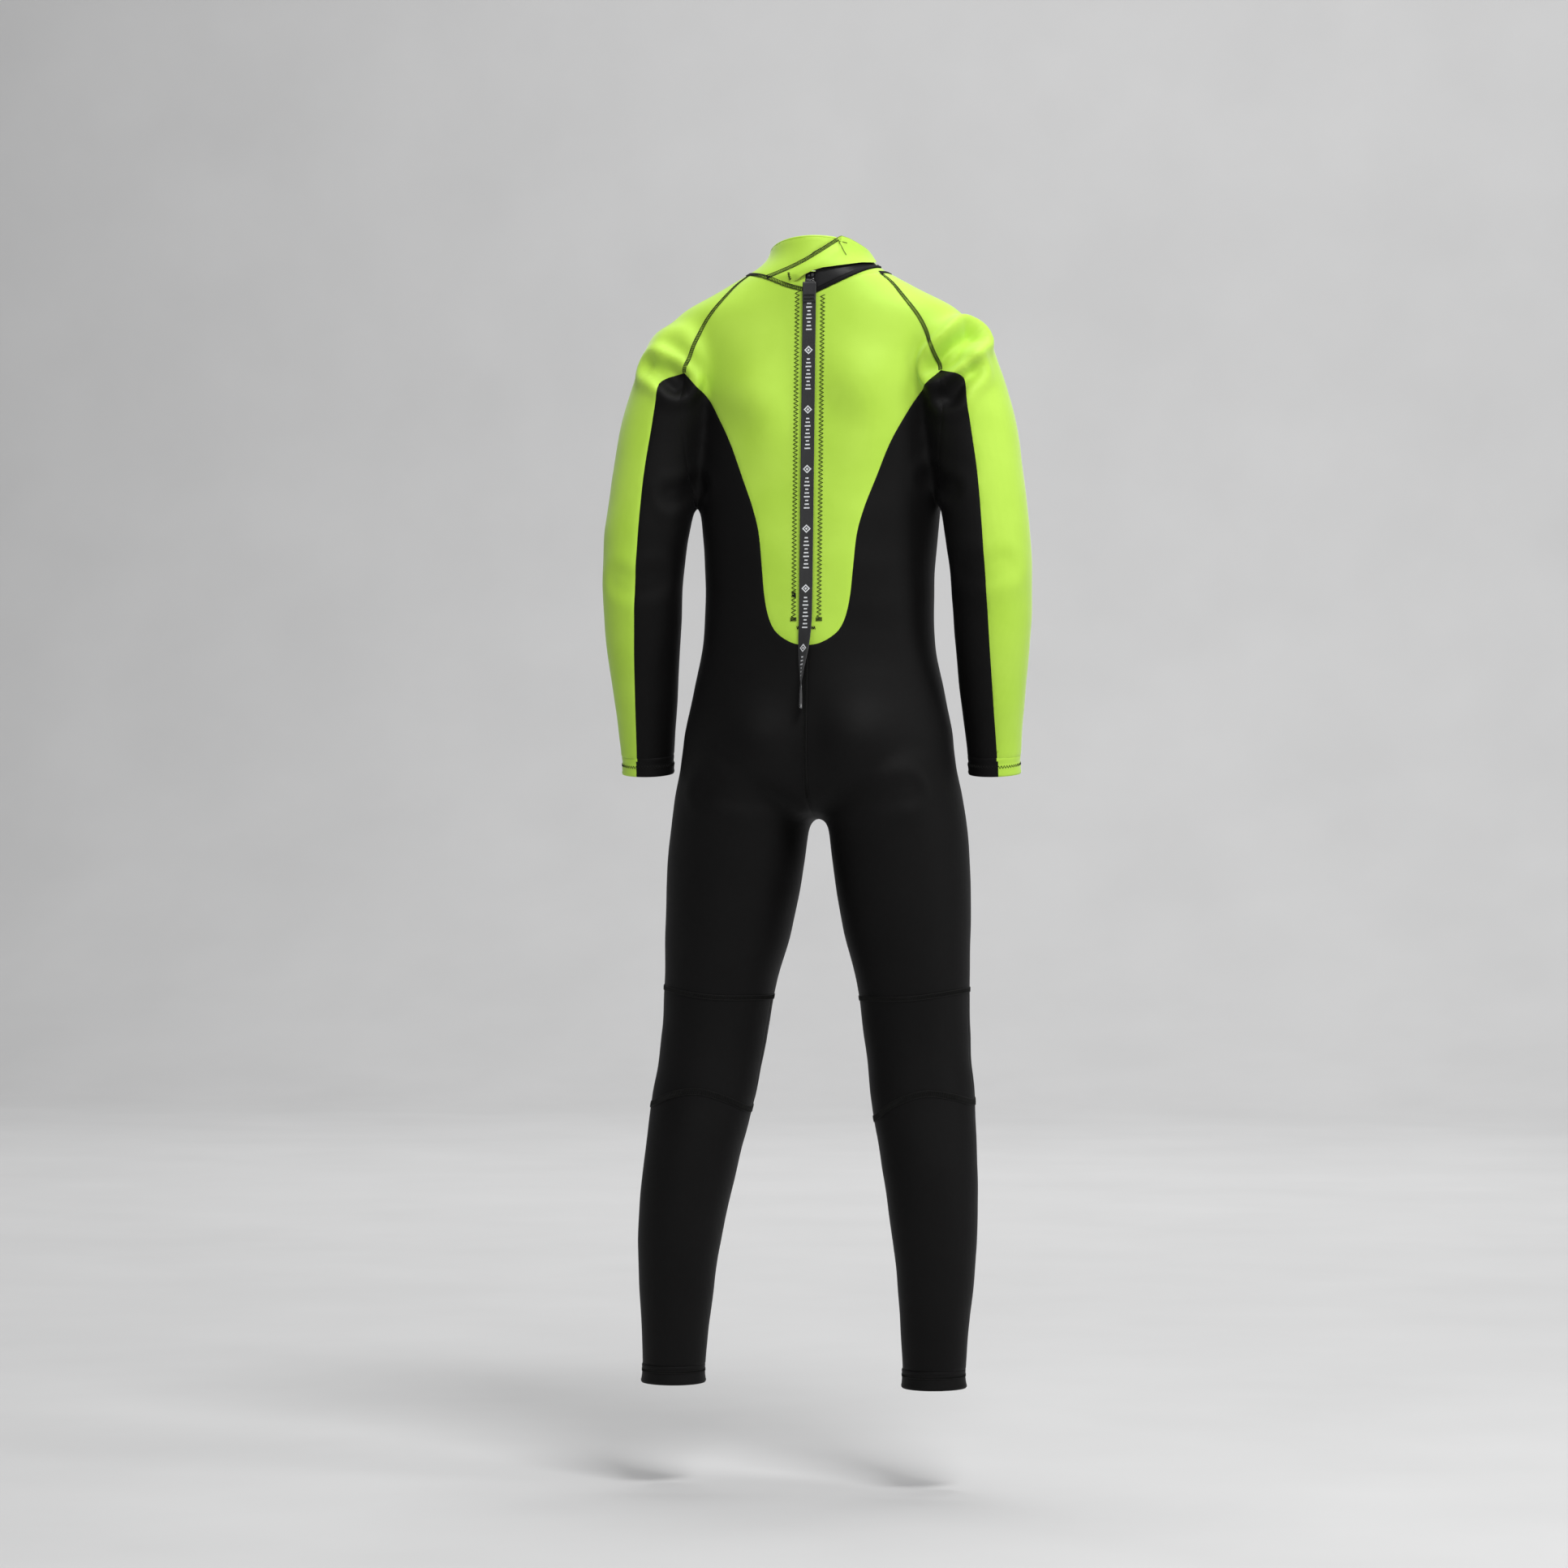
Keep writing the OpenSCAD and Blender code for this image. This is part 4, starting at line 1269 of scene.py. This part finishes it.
def make_hem(name, node_name, bore, middle, lean, flare):
    """One hem and its stitching: a wrist leans and goes on in the sleeve's two colours, an ankle is black."""
    points, faces = lathe(hem_profile(bore, flare))
    wave = 0.35 * np.sin(3 * np.arctan2(points[:, 1], points[:, 0]) + middle[0])
    points[:, :2] *= (1 + wave * np.clip(1 - points[:, 2] / 12, 0, 1) / bore)[:, None]
    placed = hem_place(points, middle, lean)
    slots = np.ones(len(faces), int)
    if lean:
        face_middles = np.array([placed[list(f)].mean(0) for f in faces])
        slots = np.where(sleeve_field(face_middles) > 0, 0, 1)
    obj = mesh_object(name, put(placed), faces, [LIME, BLACK], slots)
    settle(obj, "suit", "black_neoprene", node_name)
    turn = np.linspace(0, 2 * math.pi, 90)
    out = np.stack([np.cos(turn), np.sin(turn), np.zeros(90)], 1)
    line = out * (bore + SKIN + 0.55) + (0, 0, 10.5 if lean else 14.0)
    seam = Seam(hem_place(line, middle, lean), hem_place(out, (0, 0, 0), lean), gap=1.2)
    if lean:
        threads(name + "_zigzag", "suit", zigzag(seam, 1.6, 3.2, 0.3), 0.3)
    else:
        threads(name + "_coverstitch", "suit", ladder(seam, 1.3, 2.6, 0.25), 0.26)


def make_hems():
    for side, name in SIDES:
        wrist = (side * WRIST_MID[0], *WRIST_MID[1:])
        ankle = (side * ANKLE_MID[0] - sway_at(10, SWAY), ANKLE_MID[1], 0)
        make_hem(name + "wrist_rim", name + "wrist_hem", 24.6, wrist, WRIST_LEAN, 0.9)
        make_hem(name + "ankle_rim", name + "ankle_hem", 30.5, ankle, 0.0, 1.7)


# ---------------------------------------------------------------- collar
# The flap's lower and upper edges: degrees round the neck from the centre back, height
FLAP_BOTTOM = [
    (-36, 1192.0), (-30, 1190.0), (-20, 1185.5), (-13, 1184), (-8, 1188.5), (-4, 1193.5), (2, 1198),
    (10, 1201), (27, 1204), (50, 1208), (75, 1210), (86, 1212),
]
FLAP_TOP = [
    (-36, 1193.0), (34, 1236.5), (44, 1234), (58, 1229), (72, 1224.5), (80, 1221), (84, 1218.5), (86, 1214.5),
]
FLAP_AXIS = np.array([(7.18, -64.75, 1198.5), (28.51, -49.66, 1237.0)])


def table(pairs, at):
    a = np.array(pairs, float)
    return np.interp(at, a[:, 0], a[:, 1])


def neck_point(turn, z, out):
    """Points round the neck by angle from the centre back, height, and distance out of the collar."""
    r = rows_at(TORSO, z)
    a = np.radians(turn)
    mid, half_d = (r[:, 2] + r[:, 3]) / 2, (r[:, 3] - r[:, 2]) / 2
    return np.stack([(r[:, 1] + out) * np.sin(a), mid - (half_d + out) * np.cos(a), z], 1)


def sheet_faces(count, rows):
    """Faces and material indexes of a closed sheet: inner and outer grids of count by rows, walled round."""
    size = rows * count
    faces, slots = [], []
    for c in range(count - 1):
        for i in range(rows - 1):
            a = c * rows + i
            quad = (a, a + rows, a + rows + 1, a + 1)
            faces += [quad, tuple(v + size for v in quad[::-1])]
            slots += [1, 0]
    ring = [c * rows for c in range(count)] + [(count - 1) * rows + i for i in range(1, rows)]
    ring += [c * rows + rows - 1 for c in range(count - 2, -1, -1)] + list(range(rows - 2, 0, -1))
    faces += [(a, a + size, b + size, b)[::-1] for a, b in zip(ring, ring[1:] + ring[:1])]
    return faces, slots + [2] * len(ring)


def neck_sheet(turns, rows, bottom, top, inner, thick):
    """A closed sheet wrapped round the neck; inner gives the gap under it by turn and height."""
    turn, k = np.meshgrid(turns, np.linspace(0, 1, rows), indexing="ij")
    turn, k = turn.ravel(), k.ravel()
    z = table(bottom, turn) * (1 - k) + table(top, turn) * k
    low = inner(turn, z)
    edge = np.minimum(k, 1 - k) * np.maximum(table(top, turn) - table(bottom, turn), 0.5)
    tuck = 0.5 * np.exp(-edge / 0.9) + 0.5 * np.exp(-np.abs(turns[-1] - turn) * 0.98 / 0.9)
    both = [neck_point(turn, z, low + tuck), neck_point(turn, z, low + thick - tuck)]
    return np.vstack(both), *sheet_faces(len(turns), rows)


def flap_gap(turn, z):
    """Nearly flush where the flap is sewn down, and clear of the collar where it is free."""
    p = neck_point(turn, z, np.zeros_like(z))
    axis = FLAP_AXIS[1] - FLAP_AXIS[0]
    across = np.cross(axis, (0.304, -0.953, 0))
    across /= -np.linalg.norm(across)
    far = (p - FLAP_AXIS.mean(0)) @ -across
    sewn = table(FLAP_BOTTOM, turn) < 1190.5
    above = z - table(FLAP_BOTTOM, turn)
    below = table(FLAP_TOP, turn) - z
    rise = ramp(0, 16, below + 30 * ramp(30, 40, turn))
    rise = rise * np.where(sewn & (turn < -3), ramp(0, 12, above + 12 * ramp(-13, -4, turn)), 1)
    return -2.6 + rise * (3.0 + 1.2 * ramp(-22, 4, far))


def make_flap():
    """The collar flap: one closed sheet round the neck, baked in place."""
    turns = np.concatenate([np.arange(-36, 78, 1.0), np.linspace(78, 86, 12)])
    points, faces, slots = neck_sheet(turns, 24, FLAP_BOTTOM, FLAP_TOP, flap_gap, SKIN)
    obj = mesh_object("collar_flap_jersey", put(points), faces, [LIME, LINING, FOAM_LIME], slots)
    middle = FLAP_AXIS.mean(0)
    across = np.array((0.80, 0.255, -0.543))
    start, end = put([middle - across * 6, middle + across * 8])
    tuple(start)
    tuple(end)
    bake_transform(obj)
    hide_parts("collar_flap")


def flap_seam(turns, z):
    """A seam on the outside of the flap, through points by angle and height."""
    turn, z = np.asarray(turns, float), np.asarray(z, float)
    out = flap_gap(turn, z) + SKIN + 0.2
    on = neck_point(turn, z, out)
    return Seam(on, unit(neck_point(turn, z, out + 1) - on))


def make_flap_stitches():
    t = np.linspace(-33, 33, 60)
    root = flap_seam(t, table(FLAP_TOP, t) - 2.0)
    threads("flap_root_threads", "suit", ladder(root, 1.7, 3.0, 0.4), 0.36)
    tack = flap_seam(np.linspace(-12.5, -16.5, 8), np.linspace(1188.5, 1197.5, 8))
    threads("flap_bar_tack", "suit", zigzag(tack, 1.3, 2.2, 0.5), 0.36)
    bar = flap_seam(np.linspace(31.5, 41, 10), np.linspace(1230, 1228.5, 10))
    stem = flap_seam(np.linspace(31.5, 37, 12), np.linspace(1229.5, 1215, 12))
    for name, seam in (("flap_short_stitch", bar), ("flap_long_stitch", stem)):
        threads(name, "collar_flap_body", zigzag(seam, 0.3, 2.0, 0.35), 0.26)


def make_patches():
    turns = np.linspace(52, 76, 26)
    edge = [(52, 1211.5), (54, 1210.6), (74, 1213), (76, 1214)]
    top = [(52, 1224), (54, 1225.6), (74, 1220.6), (76, 1219)]
    for name, body, low, node_name in (
        ("loop_pile", "suit", 0.25, "loop_patch"),
        ("hook_strip", "collar_flap_body", 0.95, "hook_patch"),
    ):
        points, faces, _ = neck_sheet(turns, 12, edge, top, lambda t, z: np.full(len(t), low), 0.5)
        obj = mesh_object(name, put(points), faces, [HOOK])
        settle(obj, body, "hook_and_loop", node_name)


def edge_roll(name, panel, look, slot):
    """A soft round edge along a panel's open rim at the top of the collar."""
    tubes = []
    for run in skin.border(panel, near_line(collar_field, 0.8)):
        seam = Seam(skin.p[run] - skin.n[run] * SKIN / 2, skin.n[run])
        tubes.append(tube(seam.p, SKIN / 2, sides=10))
    points, faces = joined(tubes)
    settle(mesh_object(name, put(points), faces, [look]), "suit", slot)


def gusset_line(q):
    """The gusset's lower edge on the back of the neck."""
    close = np.minimum(np.abs(neck_field(q)), np.abs(gusset_edge(q))) < 1.2
    return (q[:, 1] < 0) & (q[:, 0] > 5) & (q[:, 0] < 68) & close


def make_binding():
    """A bound tape over the gusset's lower edge, with one row of stitches beside it."""
    steps = 70
    run = skin.border("neck_gusset", gusset_line)[0][::-1]
    seam = Seam(skin.p[run], skin.n[run])
    u = np.linspace(0, seam.length, steps)
    outline = [(-3.4, -0.3), (-3.2, 0.9), (-1.6, 1.2), (0.6, 1.2), (1.7, 0.7), (1.9, -0.4)]
    rings = np.array([seam.at(u, np.full(steps, v), np.full(steps, w)) for v, w in outline])
    n = len(outline)
    faces = []
    for k in range(steps - 1):
        a, b = k * n, k * n + n
        faces += [(a + i, a + i + 1, b + i + 1, b + i) for i in range(n - 1)]
    obj = mesh_object("gusset_edge_binding", put(rings.transpose(1, 0, 2).reshape(-1, 3)), faces, [BLACK])
    settle(obj, "suit", "black_neoprene")
    stitch = Seam(seam.at(u, np.full(steps, -2.4), np.full(steps, 1.0)), columns_at(u, seam.u, seam.n))
    threads("gusset_binding_stitch", "suit", zigzag(stitch, 0.7, 2.4, 0.3), 0.28)


def make_edges():
    edge_roll("collar_top_roll", "collar_band", LIME, "lime_neoprene")
    edge_roll("gusset_top_roll", "neck_gusset", GLIDE, "smooth_skin")
    make_binding()


# ---------------------------------------------------------------- zip
TAPE_Y = 4.1
COIL_Y = TAPE_Y - 0.95
COIL_PITCH = 1.5


def make_coils():
    turns = int((ZIP_LEN - 14) / COIL_PITCH)
    for side, name in SIDES:
        a = np.linspace(0, turns * 2 * math.pi, turns * 12)
        phase = 0 if side > 0 else math.pi
        x = side * (1.45 + 1.25 * np.cos(a + phase))
        y = COIL_Y + 0.62 * np.sin(a + phase)
        z = -ZIP_LEN + 7 + a / (2 * math.pi) * COIL_PITCH
        p, f = tube(np.stack([x, y, z], 1), 0.33)
        obj = mesh_object("zip_coil_turns_" + name.strip("_"), put(zip_place(p)), f, [COIL])
        settle(obj, "suit", "zip_coil", "zip_coil_" + name.strip("_"))


def bevelled(outline, y0, y1, bevel):
    """A plate between y0 and y1 from an (x, z) outline, its edges rounded over by bevel."""
    o = np.array(outline, float)
    inward = unit(o.mean(0) - o) * bevel
    soft = 0.3 * bevel
    rings = []
    for part, y in ((1, y0), (0.3, y0 + soft), (0, y0 + bevel), (0, y1 - bevel), (0.3, y1 - soft), (1, y1)):
        q = o + inward * part
        rings.append(np.stack([q[:, 0], np.full(len(q), y), q[:, 1]], 1))
    n = len(o)
    faces = [tuple(range(n)), tuple(range(5 * n, 6 * n))[::-1]]
    for k in range(5):
        faces += turned_band(k * n, (k + 1) * n, n)
    return np.vstack(rings), faces


def rod(x0, x1, y, z, radius, sides=24):
    x = np.array([x0, x0 + 0.15, x1 - 0.15, x1])
    p = np.stack([x, np.full(4, y), np.full(4, z)], 1)
    return tube(p, np.array([radius - 0.15, radius, radius, radius - 0.15]), sides)


def zip_metal(name, parts, body, node_name):
    p, f = joined(parts)
    obj = mesh_object(name, put(zip_place(p)), f, [COATED], smooth=False)
    settle(obj, body, "coated_metal", node_name)


def make_zip_stops():
    low, high = COIL_Y - 1.0, COIL_Y + 0.85
    crimps = []
    for side in (-1, 1):
        box = [(side * 0.6, -5.9), (side * 3.6, -5.9), (side * 3.6, -2.3), (side * 0.6, -2.3)]
        crimps.append(bevelled(box, low, high, 0.35))
    zip_metal("zip_top_crimps", crimps, "suit", "zip_top_stops")
    box = [(-3.4, -378.5), (3.4, -378.5), (3.4, -374.1), (-3.4, -374.1)]
    zip_metal("zip_bottom_crimp", [bevelled(box, low, high, 0.4)], "suit", "zip_bottom_stop")


def slider_lug(side):
    """One of the two round lugs that hold the pin."""
    turn = np.linspace(math.pi, 2 * math.pi, 12)
    bow = [(-3.2 + 2.1 * math.sin(a), -12 + 2.1 * math.cos(a)) for a in turn]
    outline = np.array([(-0.9, -9.9), *bow, (-0.9, -14.1)])
    n = len(outline)
    ends = [np.stack([np.full(n, x), outline[:, 0], outline[:, 1]], 1) for x in (side * 3.2, side * 4.7)]
    return np.vstack(ends), [tuple(range(n)), tuple(range(n, 2 * n))[::-1]] + turned_band(0, n, n)


def make_slider():
    plate = [
        (-3.0, -22), (3.0, -22), (4.4, -20), (4.9, -16), (5.0, -11), (4.6, -8.8), (3.2, -8), (0.8, -9.0),
        (-0.8, -9.0), (-3.2, -8), (-4.6, -8.8), (-5.0, -11), (-4.9, -16), (-4.4, -20),
    ]
    parts = [bevelled(plate, -1.2, 0.5, 0.5)]
    for side in (-1, 1):
        flange = [(side * 3.4, -21.5), (side * 4.9, -20), (side * 5.0, -9), (side * 3.4, -8.4)]
        parts += [bevelled(flange, 0.4, 3.8, 0.3), slider_lug(side)]
    zip_metal("slider_casting", parts, "zip_slider_body", "zip_slider")
    p, f = rod(-5.0, 5.0, -3.2, -12, 0.9)
    obj = mesh_object("slider_pin_rod", put(zip_place(p)), f, [STEEL])
    settle(obj, "zip_slider_body", "steel", "slider_pin")


def make_puller():
    turn = np.linspace(0, math.pi, 14)
    tag = [(2.8 * math.cos(a), -23.2 - 1.8 * math.sin(a)) for a in turn]
    tag = [(2.2, -13.5), *tag, (-2.2, -13.5)]
    parts = [bevelled(tag, -3.9, -2.5, 0.35), rod(-2.8, 2.8, -3.2, -12, 1.9)]
    zip_metal("puller_tag", parts, "zip_puller_body", "zip_puller")


def leash_tack(z, turns=15):
    """A row of zigzag across the turned end."""
    u = np.linspace(-5.6, 5.6, turns)
    v = np.where(np.arange(turns) % 2 == 0, -1.2, 1.2)
    row = np.stack([u, np.full(turns, -7.15), z + v], 1)
    return zip_place(columns_at(np.arange(0, turns - 1 + 0.01, 0.5), np.arange(turns), row))


def make_leash_loop():
    """The webbing's turned-over end: up the outside, over the puller and down again, tacked flat."""
    turn = np.linspace(0, math.pi, 9)
    bend = [(0, -5.45 - 0.8 * math.cos(math.pi - a), -14.0 + 1.0 * math.sin(a), 0) for a in turn]
    route = [(0, -6.25, -34.5, 0), (0, -6.25, -26, 0), (0, -6.25, -17, 0), *bend[::-1]]
    points, faces, across, _, _ = webbing_strip(route, LEASH_W - 0.2, LEASH_T - 0.1, 0.8)
    obj = mesh_object("leash_turned_end", put(zip_place(points)), faces, [WEBBING])
    float_attribute(obj, "tape_across", across)
    float_attribute(obj, "tape_along", np.full(len(points), 0.0595))
    settle(obj, "zip_puller_body", "webbing", "leash_loop")
    threads("leash_end_tacks", "zip_puller_body", [leash_tack(-31.5), leash_tack(-27.5)], 0.28)


def make_underlay():
    """The jersey strip behind the zip, crowned a little on its inner side."""
    across, down = 15, 90
    grid = np.meshgrid(np.linspace(-18, 18, across), np.linspace(-ZIP_LEN - 8, 0, down), indexing="ij")
    x, z = grid[0].ravel(), grid[1].ravel()
    crown = 0.25 * np.cos(z * 0.06) * (1 - (x / 18) ** 2)
    edge = 0.45 * ramp(16.2, 18, np.abs(x))
    sheets = [np.stack([x, y, z], 1) for y in (TAPE_Y + 0.95 + edge, TAPE_Y + 2.9 - edge + crown)]
    faces, _ = sheet_faces(across, down)
    obj = mesh_object("zip_underlay_jersey", put(zip_place(np.vstack(sheets))), faces, [LINING])
    settle(obj, "suit", "black_neoprene", "zip_underlay_flap")


make_flatlock()
make_zip_stitches()
make_hems()
make_flap()
make_flap_stitches()
make_patches()
make_edges()
make_coils()
make_zip_stops()
make_slider()
make_puller()
make_leash_loop()
make_underlay()


# ---------------------------------------------------------------- stage and light
def make_stage():
    """A sheet of paper on the floor that turns up into a wall behind the suit."""
    floor_z = (-112 - LIFT) * MM
    m, tree, shader = material("pale paper")
    paint(tree, shader, noise_at(tree, 3, 3), (0.60, 0.60, 0.60), (0.63, 0.63, 0.63))
    shader.inputs["Roughness"].default_value = 0.9
    turn = np.linspace(0, math.pi / 2, 16)
    bend = [(5.8 + 2.0 * math.sin(a), 2.0 - 2.0 * math.cos(a)) for a in turn]
    profile = [(-8.0, 0.0)] + bend + [(7.8, 9.0)]
    points = [(x, y, floor_z + z) for x in (-9.0, 9.0) for y, z in profile]
    k = len(profile)
    faces = [(i, i + 1, k + i + 1, k + i) for i in range(k - 1)]
    mesh_object("paper_sweep", points, faces, [m])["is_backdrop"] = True


# Area lights: name, place, aim, width and height, watts
LIGHTS = [
    ("key", (1.2, -2.0, 2.5), (0, 0, -0.25), (1.3, 0.9), 96),
    ("overhead", (0.1, 0.3, 2.6), (0, 0, -0.2), (1.4, 1.0), 44),
    ("right_strip", (2.7, -0.6, 0.4), (0, 0, -0.6), (0.6, 2.2), 22),
    ("low_fill", (-0.5, -3.4, 0.2), (0, 0, -0.8), (2.0, 1.2), 10),
    ("paper_wash", (0.0, 3.6, 3.2), (0, 7.2, -2.4), (6.0, 1.5), 195),
]


def area_light(name, place, aim, size, watts):
    data = bpy.data.lights.new(name, "AREA")
    data.shape = "RECTANGLE"
    data.size, data.size_y = size
    data.energy = watts
    obj = bpy.data.objects.new(name, data)
    bpy.context.scene.collection.objects.link(obj)
    obj.location = place
    obj.rotation_euler = (Vector(aim) - Vector(place)).to_track_quat("-Z", "Y").to_euler()


def make_lights():
    world = bpy.data.worlds.new("studio")
    bpy.context.scene.world = world
    world.use_nodes = True
    background = world.node_tree.nodes["Background"]
    background.inputs["Color"].default_value = (0.62, 0.62, 0.63, 1)
    background.inputs["Strength"].default_value = 0.38
    for light in LIGHTS:
        area_light(*light)


make_stage()
make_lights()
tape_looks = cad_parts["zip_tape"].data.materials
tape_looks.clear()
tape_looks.append(TAPE)

boxes = {"cad": CAD_BOX, "visual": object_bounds()}
{key: [[float(v) for v in corner] for corner in box] for key, box in boxes.items()}
